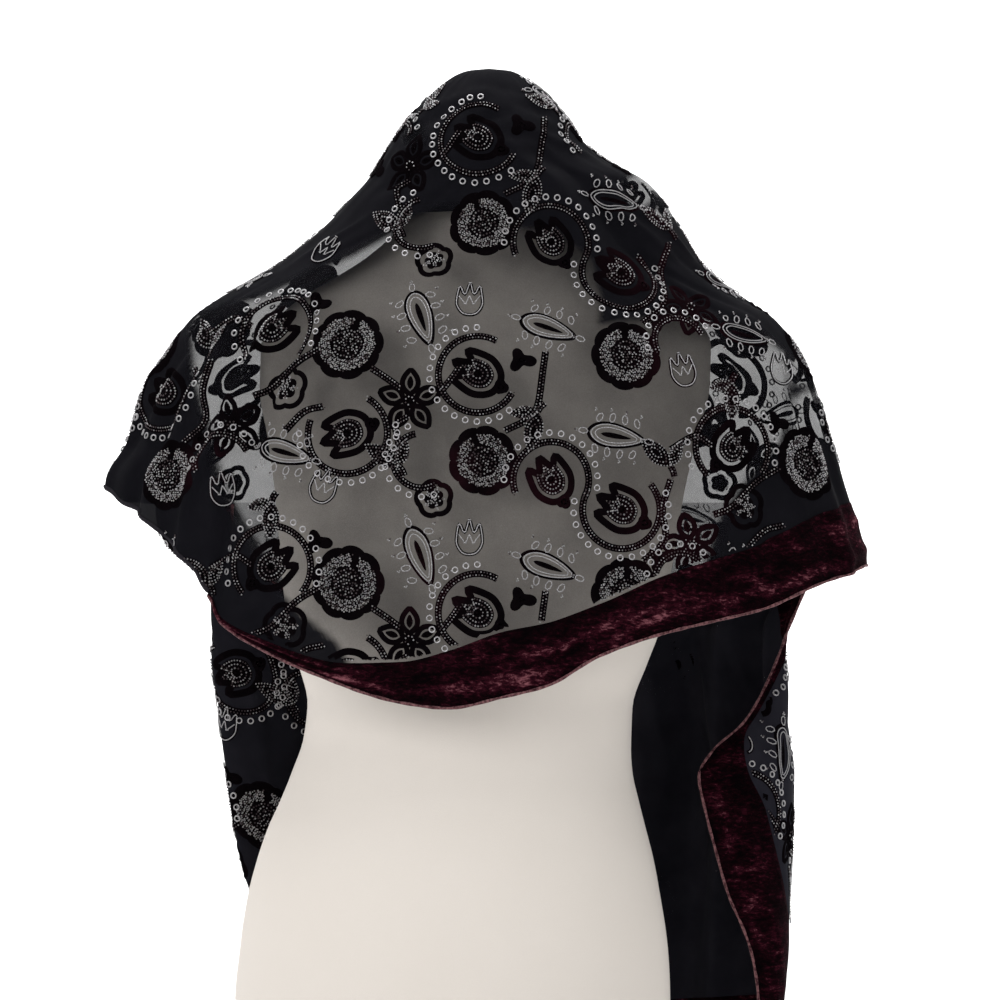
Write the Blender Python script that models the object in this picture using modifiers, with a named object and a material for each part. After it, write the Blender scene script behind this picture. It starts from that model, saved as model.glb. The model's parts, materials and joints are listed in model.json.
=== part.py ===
"""A long beaded velvet shawl on a limbless dress form, seen from the back of the form.

Metres, +Z up. The back of the form faces -Y, and the form stands on z = 0.
The shawl lies over the neck and hangs as a cape behind. Its two ends fall in front.
"""

import math

import bpy
import numpy as np

MM = 0.001

# Cloth
WALL = 1.4 * MM
SEAM_GAP = 0.3 * MM
SIDE_GAP = 1.2
TOP_GAP = 0.8
BORDER_WIDTH = 45
CAPE_ROWS = 14
CAPE_ROW_CROWDING = 1.35
FALL_COLUMNS = 32
FALL_ROWS = 12
BAND_COLUMNS = 3
FALL_BAND_COLUMNS = 5
SECTION_STEPS = 90
LINE_STEPS = 400
PROBE = 0.05

# Dress form
FORM_SIDES = 44
NECK_CENTRE = (13, 8)
NECK_SIDES = 32

# Dress form sections in mm: height, centre x, centre y, half width, half depth
FORM_SECTIONS = (
    (0, -13, -6, 156, 110),
    (12, -13, -6, 161, 114),
    (84, -13, -7, 163, 116),
    (126, -12, -7, 160, 114),
    (160, -12, -6, 155, 110),
    (188, -11, -4, 149, 106),
    (212, -10, -2, 142, 101),
    (232, -8, 0, 135, 97),
    (254, -6, 2, 128, 93),
    (280, -2, 4, 123, 90),
    (304, 0, 5, 122, 89),
    (336, 2, 6, 131, 92),
    (360, 3, 7, 139, 95),
    (410, 5, 9, 147, 101),
    (460, 7, 10, 153, 105),
    (505, 9, 10, 161, 102),
    (545, 11, 9, 169, 93),
    (575, 12, 8, 169, 82),
    (598, 13, 8, 155, 74),
    (612, 13, 8, 138, 69),
    (626, 13, 8, 114, 64),
    (640, 13, 8, 92, 61),
    (655, 13, 8, 74, 59),
    (668, 13, 8, 62, 58),
    (674, 13, 8, 56, 55),
)

# Neck block profile in mm, from its top down the outer side: radius, height under its top
NECK_PROFILE = (
    (0, 0),
    (8, 0.8),
    (16, 4),
    (24, 9),
    (31, 16),
    (38, 26),
    (44, 40),
    (50, 58),
    (53, 78),
    (55, 94),
)

# Cape sections in mm: height, left side, right side, reach behind and in front of the neck
CAPE_SECTIONS = (
    (783, 14, 14, 0, 0),
    (781, -3, 31, 16, 16),
    (774, -17, 44, 30, 30),
    (759, -34, 62, 46, 46),
    (744, -47, 74, 57, 57),
    (729, -58, 84, 63, 63),
    (714, -67, 102, 68, 67),
    (699, -77, 131, 72, 70),
    (684, -91, 145, 76, 72),
    (669, -104, 154, 79, 75),
    (654, -121, 163, 83, 79),
    (639, -140, 172, 88, 84),
    (624, -164, 186, 93, 90),
    (609, -191, 206, 99, 97),
    (594, -211, 228, 105, 104),
    (564, -229, 251, 115, 118),
    (534, -245, 263, 121, 129),
    (504, -254, 272, 124, 136),
    (474, -270, 281, 126, 140),
    (444, -272, 290, 127, 142),
    (414, -272, 298, 128, 142),
    (360, -272, 300, 129, 142),
    (300, -272, 300, 131, 142),
)

# Hem of the cape: angle from straight behind in degrees (right is positive),
# height of the edge in mm, height of the velvet border over it
HEM = (
    (-47, 388, 3),
    (-44, 369, 4),
    (-35, 347, 8),
    (-22, 323, 16),
    (-13, 310, 30),
    (-6, 306, 42),
    (2, 314, 48),
    (9, 323, 46),
    (17, 345, 38),
    (27, 361, 42),
    (36, 370, 45),
    (45, 378, 47),
    (59, 396, 48),
    (70, 404, 49),
    (84, 410, 47),
    (100, 410, 47),
    (118, 410, 47),
)
HEM_END_TURN = 0.5
FALL_TOP = 457
FALL_OUTER_ANGLE = 118
FALL_INNER_ANGLE = 150.5

# Where a fall leaves the cape: the angle of its inner edge on the cape, and how far
# below the seam it takes to hang in its own shape
FALL_EDGE_ANGLE = 161
FALL_BLEND = 75

# Shares of a fold's or a section's length over which it fades out at each end
FOLD_START = 0.35
FOLD_END = 0.3
FOLD_RUN_OUT = 1.12
PLEAT_START = 0.05
PLEAT_START_LEVEL = 0.2
PLEAT_END = 0.12

# Shares of a fall's width that its inner and outer borders take along its lower end
INNER_SHARE = 0.1
OUTER_SHARE = 0.9

# Left wing, where the cloth turns under: angle, height of the turned edge in mm
WING = (
    (-118, 457),
    (-100, 462),
    (-87, 470),
    (-76, 460),
    (-66, 448),
    (-57, 432),
    (-50, 410),
    (-47, 391),
)

# Upper edge of the shawl round the neck, from the seam of a fall to the middle of the
# front: angle and height of the edge, angle and height where its border ends
NECK_BAND = (
    (161.0, 457, 150.5, 457),
    (162.8, 510, 151.6, 510),
    (164.8, 560, 153.0, 562),
    (167.5, 612, 155.2, 622),
    (171.0, 652, 158.6, 668),
    (175.5, 680, 166.0, 712),
    (180.0, 690, 180.0, 734),
)

# Folds of the cape in mm: angle and height at the top, angle and height at the foot,
# depth (a trough is negative), width
CAPE_FOLDS = (
    (-34, 640, -46, 380, -8, 9),
    (-41, 640, -54, 380, 6, 9),
    (-60, 620, -70, 430, -7, 13),
    (-80, 610, -84, 440, 5, 13),
    (6, 745, 40, 610, 4, 10),
    (22, 735, 58, 590, -5, 11),
    (44, 600, 50, 400, -4, 14),
    (66, 600, 70, 390, 5, 15),
    (88, 620, 92, 390, -6, 13),
    (-8, 720, -26, 560, -3, 13),
    (-18, 470, -20, 290, 3, 16),
    (14, 470, 12, 290, -3, 15),
    (101, 640, 104, 380, 5, 12),
    (109, 650, 111, 380, -5, 11),
    (125, 660, 126, 400, -5, 12),
    (133, 660, 134, 400, 5, 12),
    (141, 660, 142, 400, -5, 11),
    (-100, 640, -103, 420, -5, 12),
    (-109, 650, -109, 420, 5, 11),
    (-125, 660, -126, 400, -5, 12),
    (-133, 660, -134, 400, 5, 12),
    (-141, 660, -142, 400, 5, 11),
)

# Sections of the falls in mm: height, inner edge x and y, fold ridge x and y,
# y that the cloth turns round to behind the ridge, free edge x and y
RIGHT_FALL = (
    (457, 107, 142, 266, 75, 75, 266, 75),
    (400, 96, 148, 256, 70, 70, 256, 70),
    (356, 84, 150, 239, 62, 62, 239, 62),
    (345, 81, 150, 239, 61, 54, 235, 55),
    (307, 76, 151, 241, 57, 32, 217, 36),
    (290, 75, 151, 241, 56, 22, 205, 26),
    (270, 73, 151, 243, 54, 8, 182, 13),
    (252, 72, 151, 244, 52, 2, 172, 8),
    (225, 71, 151, 244, 51, 2, 177, 8),
    (198, 70, 151, 243, 50, 3, 184, 9),
    (163, 70, 150, 242, 48, 6, 194, 11),
    (133, 70, 150, 241, 47, 10, 207, 15),
    (113, 70, 150, 240, 46, 13, 213, 17),
    (84, 71, 149, 237, 46, 16, 217, 19),
    (20, 73, 148, 232, 47, 20, 219, 22),
)
LEFT_FALL = (
    (457, -80, 142, -238, 75, 52, -178, 40),
    (440, -78, 144, -230, 74, 50, -172, 42),
    (420, -76, 147, -213, 73, 48, -160, 50),
    (400, -74, 149, -199, 72, 46, -148, 58),
    (384, -72, 150, -197, 71, 45, -130, 68),
    (342, -68, 151, -197, 71, 45, -84, 95),
    (302, -64, 151, -192, 72, 48, -76, 104),
    (258, -60, 152, -187, 73, 52, -72, 112),
    (216, -56, 153, -181, 77, 58, -70, 118),
    (181, -54, 154, -174, 82, 66, -68, 122),
    (156, -52, 154, -166, 88, 74, -66, 124),
    (120, -50, 154, -154, 97, 86, -64, 126),
    (70, -48, 154, -140, 104, 96, -62, 127),
)

# Pleats of the falls: place from inner edge (0) to ridge (1), depth in mm, width in mm
RIGHT_PLEATS = (
    (0.10, 8, 15),
    (0.23, -9, 15),
    (0.37, 10, 16),
    (0.51, -9, 15),
    (0.64, 8, 15),
    (0.78, -7, 14),
)
LEFT_PLEATS = (
    (0.12, 7, 14),
    (0.27, -8, 14),
    (0.42, 9, 15),
    (0.57, -8, 14),
    (0.72, 7, 13),
)

# Border along the right fall's outer edge in mm: height, width that lies on the outside
RIGHT_BORDER = (
    (457, 45),
    (400, 40),
    (359, 18),
    (345, 7),
    (307, 5),
    (290, 6),
    (270, 24),
    (252, 38),
    (225, 46),
    (198, 47),
    (163, 48),
    (20, 46),
)
LEFT_BORDER = (
    (457, 6),
    (384, 8),
    (342, 34),
    (302, 44),
    (70, 45),
)

# Lower ends of the falls in mm: height at the inner edge, height at the free edge
RIGHT_END = (24, 44)
LEFT_END = (92, 118)

# Columns along each stretch of the cape's lower line
HEM_COLUMNS = 42
SEAM_COLUMNS = 15
NECK_COLUMNS = 15
WING_COLUMNS = 14


# Tables and lines

def column(rows, index):
    return np.array([row[index] for row in rows], dtype=float)


def smooth(keys, values, wanted):
    """A smooth curve through a table, which never overshoots its rows."""
    order = np.argsort(keys)
    x = np.asarray(keys, dtype=float)[order]
    y = np.asarray(values, dtype=float)[order]
    step = np.diff(x)
    slope = np.diff(y) / step
    tangent = np.zeros_like(y)
    tangent[0] = slope[0]
    tangent[-1] = slope[-1]
    product = slope[:-1] * slope[1:]
    mean = 2 * product / np.where(product > 0, slope[:-1] + slope[1:], 1.0)
    tangent[1:-1] = np.where(product > 0, mean, 0.0)
    wanted = np.clip(wanted, x[0], x[-1])
    cell = np.clip(np.searchsorted(x, wanted) - 1, 0, len(x) - 2)
    width = step[cell]
    t = (wanted - x[cell]) / width
    start = (1 + 2 * t) * (1 - t) ** 2 * y[cell] + t * (1 - t) ** 2 * width * tangent[cell]
    end = t * t * (3 - 2 * t) * y[cell + 1] + t * t * (t - 1) * width * tangent[cell + 1]
    return start + end


def ease(value):
    value = np.clip(value, 0.0, 1.0)
    return value * value * (3 - 2 * value)


def resample(points, count):
    """Points at even distances along a line of (angle, height) rows on the cape."""
    keys = np.linspace(0, 1, len(points))
    fine = np.linspace(0, 1, LINE_STEPS)
    angle = smooth(keys, column(points, 0), fine)
    height = smooth(keys, column(points, 1), fine)
    place = cape_point(angle, height)
    walked = np.concatenate(([0], np.cumsum(np.linalg.norm(np.diff(place, axis=0), axis=1))))
    wanted = np.linspace(0, walked[-1], count + 1)
    return np.column_stack((np.interp(wanted, walked, angle), np.interp(wanted, walked, height)))


# Cape surface, in mm

def cape_drop(height):
    """How far down the cape's slope a height lies, so that the top is a round dome."""
    heights = column(CAPE_SECTIONS, 0)
    reach = (column(CAPE_SECTIONS, 2) - column(CAPE_SECTIONS, 1)) / 2
    steps = np.hypot(np.diff(heights), np.diff(reach))
    drops = np.concatenate(([0], np.cumsum(steps)))
    return smooth(heights, drops, height)


def cape_height(drop):
    heights = column(CAPE_SECTIONS, 0)
    return smooth(cape_drop(heights), heights, drop)


def cape_fold(angle, height, width):
    depth = np.zeros(np.broadcast(angle, height).shape)
    for top_angle, top, foot_angle, foot, fold_depth, fold_width in CAPE_FOLDS:
        along = (top - height) / (top - foot)
        centre = top_angle + (foot_angle - top_angle) * np.clip(along, 0, 1)
        away = np.radians(angle - centre) * width
        window = ease(along / FOLD_START) * ease((FOLD_RUN_OUT - along) / FOLD_END)
        depth = depth + fold_depth * window * np.exp(-(away / fold_width) ** 2)
    return depth


def cape_point(angle, height):
    """A point of the cape at an angle from straight behind and a height, in mm."""
    angle = np.asarray(angle, dtype=float)
    height = np.asarray(height, dtype=float)
    drop = cape_drop(height)
    drops = cape_drop(column(CAPE_SECTIONS, 0))
    left = smooth(drops, column(CAPE_SECTIONS, 1), drop)
    right = smooth(drops, column(CAPE_SECTIONS, 2), drop)
    behind = smooth(drops, column(CAPE_SECTIONS, 3), drop)
    before = smooth(drops, column(CAPE_SECTIONS, 4), drop)
    half = (right - left) / 2
    turn = np.radians(angle)
    reach = np.where(np.cos(turn) > 0, behind, before)
    fold = cape_fold(angle, height, half)
    x = (left + right) / 2 + (half + fold) * np.sin(turn)
    y = NECK_CENTRE[1] - (reach + fold) * np.cos(turn)
    return np.stack((x, y, height + 0 * x), axis=-1)


def cape_lines():
    """The lower line of the beaded ground, stretch by stretch round the cape."""
    hem = [(row[0], row[1] + row[2]) for row in HEM]
    right_seam = [(FALL_OUTER_ANGLE, FALL_TOP), (FALL_INNER_ANGLE, FALL_TOP)]
    right_neck = [(row[2], row[3]) for row in NECK_BAND]
    left_neck = [(-row[2], row[3]) for row in reversed(NECK_BAND)]
    left_seam = [(-FALL_INNER_ANGLE, FALL_TOP), (-FALL_OUTER_ANGLE, FALL_TOP)]
    return {
        "hem": resample(hem, HEM_COLUMNS),
        "right_seam": resample(right_seam, SEAM_COLUMNS),
        "right_neck": resample(right_neck, NECK_COLUMNS),
        "left_neck": resample(left_neck, NECK_COLUMNS),
        "left_seam": resample(left_seam, SEAM_COLUMNS),
        "wing": resample(list(WING), WING_COLUMNS),
    }


def shifted(line, distance, closed=False):
    """A line moved sideways on the cape by a distance in mm, to its right as it runs."""
    before = np.roll(line, 1, axis=0)
    after = np.roll(line, -1, axis=0)
    if not closed:
        before[0] = line[0]
        after[-1] = line[-1]
    here = cape_point(line[:, 0], line[:, 1])
    across = np.linalg.norm(cape_point(line[:, 0] + PROBE, line[:, 1]) - here, axis=1) / PROBE
    down = np.linalg.norm(cape_point(line[:, 0], line[:, 1] - PROBE) - here, axis=1) / PROBE
    turn = np.mod(after[:, 0] - before[:, 0] + 180, 360) - 180
    run = np.column_stack((turn * across, (after[:, 1] - before[:, 1]) * down))
    run /= np.linalg.norm(run, axis=1)[:, None]
    return np.column_stack((
        line[:, 0] + distance * run[:, 1] / across,
        line[:, 1] - distance * run[:, 0] / down,
    ))


# Fall sections, in mm

def fall_section(rows, pleats, side, height):
    """The plan of a fall at a height, as points from its inner edge to its free edge."""
    heights = column(rows, 0)
    inner_x, inner_y, ridge_x, ridge_y, turn_y, free_x, free_y = (
        smooth(heights, column(rows, index), height) for index in range(1, 8)
    )
    across = np.linspace(0, 1, SECTION_STEPS)
    angle = across * math.pi / 2
    x = inner_x + (ridge_x - inner_x) * np.sin(angle)
    y = ridge_y + (inner_y - ridge_y) * np.cos(angle)
    wave = np.zeros_like(across)
    length = abs(ridge_x - inner_x) + abs(ridge_y - inner_y)
    for place, depth, width in pleats:
        wave += depth * np.exp(-((across - place) * length / width) ** 2)
    wave *= ease(across / PLEAT_START + PLEAT_START_LEVEL) * ease((1 - across) / PLEAT_END)
    x = x + side * wave * np.sin(angle)
    y = y + wave * np.cos(angle)
    hang = ease((FALL_TOP - height) / FALL_BLEND)
    cape_angle = side * (FALL_EDGE_ANGLE + (FALL_OUTER_ANGLE - FALL_EDGE_ANGLE) * across)
    cape = cape_point(cape_angle, np.full_like(across, height))
    x = cape[:, 0] + (x - cape[:, 0]) * hang
    y = cape[:, 1] + (y - cape[:, 1]) * hang
    along = np.linspace(0, 1, SECTION_STEPS)[1:]
    middle = 2 * along * (1 - along)
    end = along ** 2
    flap_x = x[-1] + end * (free_x - ridge_x)
    flap_y = y[-1] + middle * (turn_y - ridge_y) + end * (free_y - ridge_y)
    return np.column_stack((np.concatenate((x, flap_x)), np.concatenate((y, flap_y))))


def fall_point(rows, pleats, side, height, distance):
    """A point of a fall at a height and a distance from its inner edge, and the whole width."""
    section = fall_section(rows, pleats, side, height)
    walked = np.concatenate(([0], np.cumsum(np.linalg.norm(np.diff(section, axis=0), axis=1))))
    x = np.interp(distance, walked, section[:, 0])
    y = np.interp(distance, walked, section[:, 1])
    return np.array((x, y, height)), walked[-1]


def fall_height(foot, row):
    """The height of a row of a fall: the first rows reach its end border, the last cross it."""
    line = foot + BORDER_WIDTH
    if row <= FALL_ROWS:
        return FALL_TOP + (line - FALL_TOP) * row / FALL_ROWS
    return line + (foot - line) * (row - FALL_ROWS) / BAND_COLUMNS


def fall_grid(rows, pleats, side, border, end, stretch):
    """Points of one stretch of a fall: its inner border, its ground, its outer border or
    the border at its lower end. Rows run down, columns from the inner to the free edge."""
    gap = SEAM_GAP / MM
    first_share, last_share, columns = {
        "inner": (0.0, INNER_SHARE, FALL_BAND_COLUMNS),
        "outer": (OUTER_SHARE, 1.0, FALL_BAND_COLUMNS),
    }.get(stretch, (INNER_SHARE, OUTER_SHARE, FALL_COLUMNS))
    last_row = FALL_ROWS + BAND_COLUMNS
    first_row, last_row = {"ground": (0, FALL_ROWS), "end": (FALL_ROWS, last_row)}.get(stretch, (0, last_row))
    grid = []
    for row in range(first_row, last_row + 1):
        line = []
        for index in range(columns + 1):
            share = index / columns
            foot = end[0] + (end[1] - end[0]) * (first_share + (last_share - first_share) * share)
            height = fall_height(foot, row)
            if row == first_row:
                height -= gap / 2 if stretch == "end" else TOP_GAP / 2
            if row == last_row and stretch == "ground":
                height += gap / 2
            width = smooth(column(border, 0), column(border, 1), height)
            length = fall_point(rows, pleats, side, height, 0)[1]
            first, last = {
                "inner": (0, BORDER_WIDTH - SIDE_GAP / 2),
                "outer": (length - width + SIDE_GAP / 2, length),
            }.get(stretch, (BORDER_WIDTH + SIDE_GAP / 2, length - width - SIDE_GAP / 2))
            line.append(fall_point(rows, pleats, side, height, first + (last - first) * share)[0])
        grid.append(line)
    return np.array(grid)


# Meshes

def material(name, colour, roughness, metallic=0.0):
    made = bpy.data.materials.new(name)
    made.use_nodes = True
    shader = made.node_tree.nodes["Principled BSDF"]
    shader.inputs["Base Color"].default_value = (*colour, 1)
    shader.inputs["Roughness"].default_value = roughness
    shader.inputs["Metallic"].default_value = metallic
    made.diffuse_color = (*colour, 1)
    return made


def add_object(name, points, faces, finish, collection):
    mesh = bpy.data.meshes.new(name)
    mesh.from_pydata([tuple(point) for point in np.asarray(points) * MM], [], faces)
    mesh.materials.append(finish)
    mesh.shade_smooth()
    placed = bpy.data.objects.new(name, mesh)
    collection.objects.link(placed)
    return placed


def thicken(placed):
    solid = placed.modifiers.new("cloth wall", "SOLIDIFY")
    solid.thickness = WALL
    solid.offset = 0
    return placed


def add_sheet(name, grid, finish, collection, flip=False):
    """A cloth wall through a grid of points."""
    rows, columns = grid.shape[:2]
    faces = []
    for row in range(rows - 1):
        for index in range(columns - 1):
            corner = row * columns + index
            face = (corner, corner + columns, corner + columns + 1, corner + 1)
            faces.append(face[::-1] if flip else face)
    return thicken(add_object(name, grid.reshape(-1, 3), faces, finish, collection))


def add_loft(name, rings, finish, collection):
    """A closed body through rings of points, from its foot to its top."""
    count, sides = rings.shape[:2]
    faces = [tuple(reversed(range(sides)))]
    for ring in range(count - 1):
        for index in range(sides):
            following = (index + 1) % sides
            low = ring * sides
            faces.append((low + index, low + following, low + sides + following, low + sides + index))
    faces.append(tuple(range((count - 1) * sides, count * sides)))
    return add_object(name, rings.reshape(-1, 3), faces, finish, collection)


# Pieces

def form_torso(collection, finish):
    rings = []
    turns = np.linspace(0, 2 * math.pi, FORM_SIDES, endpoint=False)
    for height, centre_x, centre_y, half_width, half_depth in FORM_SECTIONS:
        x = centre_x + half_width * np.cos(turns)
        y = centre_y + half_depth * np.sin(turns)
        rings.append(np.column_stack((x, y, np.full_like(x, height))))
    torso = add_loft("form_torso", np.array(rings), finish, collection)
    torso.data.set_sharp_from_angle(angle=math.radians(50))
    return torso


def form_neck(collection, finish):
    """A turned block on the torso's neck, which carries the top of the shawl."""
    top = CAPE_SECTIONS[0][0] - WALL / MM / 2 - SEAM_GAP / MM
    foot = top - FORM_SECTIONS[-1][0] - SEAM_GAP / MM
    profile = NECK_PROFILE + ((NECK_PROFILE[-1][0], foot), (0, foot))
    points = [(radius * MM, 0, -under * MM) for radius, under in profile]
    mesh = bpy.data.meshes.new("form_neck")
    mesh.from_pydata(points, [(index, index + 1) for index in range(len(points) - 1)], [])
    mesh.materials.append(finish)
    neck = bpy.data.objects.new("form_neck", mesh)
    neck.location = (NECK_CENTRE[0] * MM, NECK_CENTRE[1] * MM, top * MM)
    collection.objects.link(neck)
    turned = neck.modifiers.new("turned", "SCREW")
    turned.axis = "Z"
    turned.steps = NECK_SIDES
    turned.render_steps = NECK_SIDES
    turned.use_merge_vertices = True
    turned.merge_threshold = 0.00005
    turned.use_smooth_shade = True
    return neck


def cape(collection, finish, lines):
    """The beaded stretch over the neck, the shoulders and the back, closed at its top."""
    order = ("wing", "hem", "right_seam", "right_neck", "left_neck", "left_seam")
    edge = np.concatenate([lines[name][:-1] for name in order])
    inside = shifted(edge, -TOP_GAP / 2, closed=True)
    share = (np.arange(1, CAPE_ROWS + 1) / CAPE_ROWS) ** CAPE_ROW_CROWDING
    drop = cape_drop(inside[:, 1])[None, :] * share[:, None]
    height = cape_height(drop)
    height[-1] = inside[:, 1]
    angle = np.broadcast_to(inside[:, 0], height.shape)
    rows = cape_point(angle, height)
    apex = cape_point(0, CAPE_SECTIONS[0][0])
    points = np.vstack((apex[None, :], rows.reshape(-1, 3)))
    columns = len(edge)
    faces = []
    for index in range(columns):
        following = (index + 1) % columns
        faces.append((0, 1 + index, 1 + following))
        for row in range(CAPE_ROWS - 1):
            high = 1 + row * columns
            low = high + columns
            faces.append((high + index, low + index, low + following, high + following))
    return thicken(add_object("shawl_cape", points, faces, finish, collection))


def band_grid(inner_line, outer_line, steps):
    grid = []
    for step in range(steps + 1):
        line = inner_line + (outer_line - inner_line) * step / steps
        grid.append(cape_point(line[:, 0], line[:, 1]))
    return np.array(grid)


def hem_border(collection, finish, lines):
    """The crushed velvet border along the hem of the cape."""
    line = lines["hem"]
    edge_height = smooth(column(HEM, 0), column(HEM, 1), line[:, 0])
    top = shifted(line, SEAM_GAP / MM / 2)
    foot = np.column_stack((line[:, 0], edge_height))
    top[-1, 0] -= HEM_END_TURN
    foot[-1, 0] -= HEM_END_TURN
    return add_sheet("border_hem", band_grid(top, foot, BAND_COLUMNS), finish, collection)


def neck_border(collection, finish, lines):
    """The border along the upper edge, from fall to fall round the front of the neck."""
    ground = np.concatenate((lines["right_neck"], lines["left_neck"][1:]))
    keys = np.linspace(0, 1, len(NECK_BAND))
    ground_heights = column(NECK_BAND, 3)
    place = np.interp(lines["right_neck"][:, 1], ground_heights, keys)
    edge_angle = smooth(keys, column(NECK_BAND, 0), place)
    edge_height = smooth(keys, column(NECK_BAND, 1), place)
    right = np.column_stack((edge_angle, edge_height))
    left = np.column_stack((-edge_angle, edge_height))[::-1]
    edge = np.concatenate((right, left[1:]))
    half = len(lines["right_neck"])
    ground[half:, 0] += 360
    edge[half:, 0] += 360
    grid = band_grid(shifted(ground, SIDE_GAP), edge, BAND_COLUMNS)
    return add_sheet("border_neck", grid, finish, collection)


def fall(collection, finishes, name, rows, pleats, side, border, end):
    """One hanging end of the shawl: its ground and the borders on its three edges."""
    cloth, velvet = finishes
    stretches = (
        ("ground", f"shawl_{name}_fall", cloth),
        ("inner", f"border_{name}_inner", velvet),
        ("outer", f"border_{name}_outer", velvet),
        ("end", f"border_{name}_end", velvet),
    )
    for stretch, label, finish in stretches:
        grid = fall_grid(rows, pleats, side, border, end, stretch)
        add_sheet(label, grid, finish, collection, flip=side > 0)


def main():
    for placed in list(bpy.data.objects):
        bpy.data.objects.remove(placed, do_unlink=True)
    collection = bpy.data.collections.new("velvet_shawl_on_form")
    bpy.context.scene.collection.children.link(collection)
    jersey = material("ivory jersey", (0.78, 0.74, 0.69), 0.85)
    black_cap = material("black neck cap", (0.012, 0.012, 0.014), 0.6)
    cloth = material("black beaded chiffon", (0.035, 0.03, 0.034), 0.8)
    velvet = material("burgundy velvet", (0.11, 0.018, 0.03), 0.75)
    lines = cape_lines()
    form_torso(collection, jersey)
    form_neck(collection, black_cap)
    cape(collection, cloth, lines)
    hem_border(collection, velvet, lines)
    neck_border(collection, velvet, lines)
    fall(collection, (cloth, velvet), "right", RIGHT_FALL, RIGHT_PLEATS, 1, RIGHT_BORDER, RIGHT_END)
    fall(collection, (cloth, velvet), "left", LEFT_FALL, LEFT_PLEATS, -1, LEFT_BORDER, LEFT_END)


main()
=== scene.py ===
"""Looks of a long beaded velvet shawl on a limbless dress form, seen from the back of the form.

Lengths in the tables are in mm. The pieces are in metres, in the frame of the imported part.
"""

import json
import math

import bpy
import numpy as np
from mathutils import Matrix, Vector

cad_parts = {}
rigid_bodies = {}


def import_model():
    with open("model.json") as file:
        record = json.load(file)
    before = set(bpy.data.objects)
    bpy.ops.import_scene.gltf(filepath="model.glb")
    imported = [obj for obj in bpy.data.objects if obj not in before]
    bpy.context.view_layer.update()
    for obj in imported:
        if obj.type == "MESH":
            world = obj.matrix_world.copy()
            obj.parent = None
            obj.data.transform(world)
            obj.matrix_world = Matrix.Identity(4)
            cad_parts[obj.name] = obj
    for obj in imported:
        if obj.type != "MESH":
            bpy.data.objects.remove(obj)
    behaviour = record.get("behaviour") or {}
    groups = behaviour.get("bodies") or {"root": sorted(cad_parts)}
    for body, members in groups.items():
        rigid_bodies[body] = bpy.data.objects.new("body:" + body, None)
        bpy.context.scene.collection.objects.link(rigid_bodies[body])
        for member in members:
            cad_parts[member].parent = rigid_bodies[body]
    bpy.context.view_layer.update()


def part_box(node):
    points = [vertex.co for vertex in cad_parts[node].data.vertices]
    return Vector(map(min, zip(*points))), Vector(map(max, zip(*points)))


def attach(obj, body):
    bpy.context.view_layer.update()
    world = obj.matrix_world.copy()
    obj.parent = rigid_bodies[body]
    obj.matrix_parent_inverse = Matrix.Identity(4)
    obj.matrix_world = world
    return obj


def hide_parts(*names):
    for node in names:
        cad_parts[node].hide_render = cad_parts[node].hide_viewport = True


MM = 0.001

# Cloth
BORDER_WIDTH = 45
TUCK = 1.5
BORDER_LIFT = 0.5
BORDER_THICKNESS = 1.2
ROLL_RADIUS = 1.15
# strength of the painted highlight along the ridges of the falls' borders
FALL_RIDGE_HIGHLIGHT = 0.45
BORDER_CLEAR = 1.5
NECK_CENTRE = (13, 8)

# Fineness of the cloth
CAPE_REACH = 200
CAPE_DEGREES = 0.5
CAPE_DROP_STEP = 2.5
CAPE_ROWS = 118
HEM_COLUMNS = 190
SEAM_COLUMNS = 42
NECK_COLUMNS = 54
WING_COLUMNS = 62
BORDER_ROWS = 18
FALL_STEP = 3
FALL_SHARES = 260
FALL_ROWS = 120
FALL_COLUMNS = 130
FALL_BORDER_COLUMNS = 14
SECTION_STEPS = 140
LINE_STEPS = 500
FIRST_DROP = 0.4
SEAM_SLACK = 0.4
WALK_STEPS = 5

# Beads
SEED_RADIUS = 0.84
SEED_STEP = 2.3
CHIP_RADIUS = 0.8
CHIP_STEP = 1.7
VINE_SEED_RADIUS = 0.76
BUGLE_LENGTH = 2.3
BUGLE_RADIUS = 0.44
RING_RADIUS = 2.1
RING_TUBE = 0.64
RING_STEP = 8.8
RING_AWAY = 6.6
VINE_WIDTH = 5.3
VINE_ROWS = 1.15
BEAD_LIFT = 0.9
PILE = 0.75
# velvet patches rise in rings, each a share of the outline and of the pile
PATCH_STEPS = ((1.0, 0.15), (0.8, 0.95), (0.42, 1.1))
WIDE_STEPS = ((1.0, 0.3), (0.86, 0.95), (0.64, 1.05), (0.42, 1.1), (0.2, 1.15))
# a patch with more edge points than this takes the finer rings
WIDE_PATCH = 24

# Dress form sections in mm: height, centre x, centre y, half width, half depth
FORM_SECTIONS = (
    (0, -13, -6, 156, 110),
    (12, -13, -6, 161, 114),
    (84, -13, -7, 163, 116),
    (126, -12, -7, 160, 114),
    (160, -12, -6, 155, 110),
    (188, -11, -4, 149, 106),
    (212, -10, -2, 142, 101),
    (232, -8, 0, 135, 97),
    (254, -6, 2, 128, 93),
    (280, -2, 4, 123, 90),
    (304, 0, 5, 122, 89),
    (336, 2, 6, 131, 92),
    (360, 3, 7, 139, 95),
    (410, 5, 9, 147, 101),
    (460, 7, 10, 153, 105),
    (505, 9, 10, 161, 102),
    (545, 11, 9, 169, 93),
    (575, 12, 8, 169, 82),
    (598, 13, 8, 155, 74),
    (612, 13, 8, 138, 69),
    (626, 13, 8, 114, 64),
    (640, 13, 8, 92, 61),
    (655, 13, 8, 74, 59),
    (668, 13, 8, 62, 58),
    (674, 13, 8, 56, 55),
)

# Neck block profile in mm, from its top down the outer side: radius, height under its top
NECK_PROFILE = (
    (0, 0),
    (8, 0.8),
    (16, 4),
    (24, 9),
    (31, 16),
    (38, 26),
    (44, 40),
    (50, 58),
    (53, 78),
    (55, 94),
)

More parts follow.
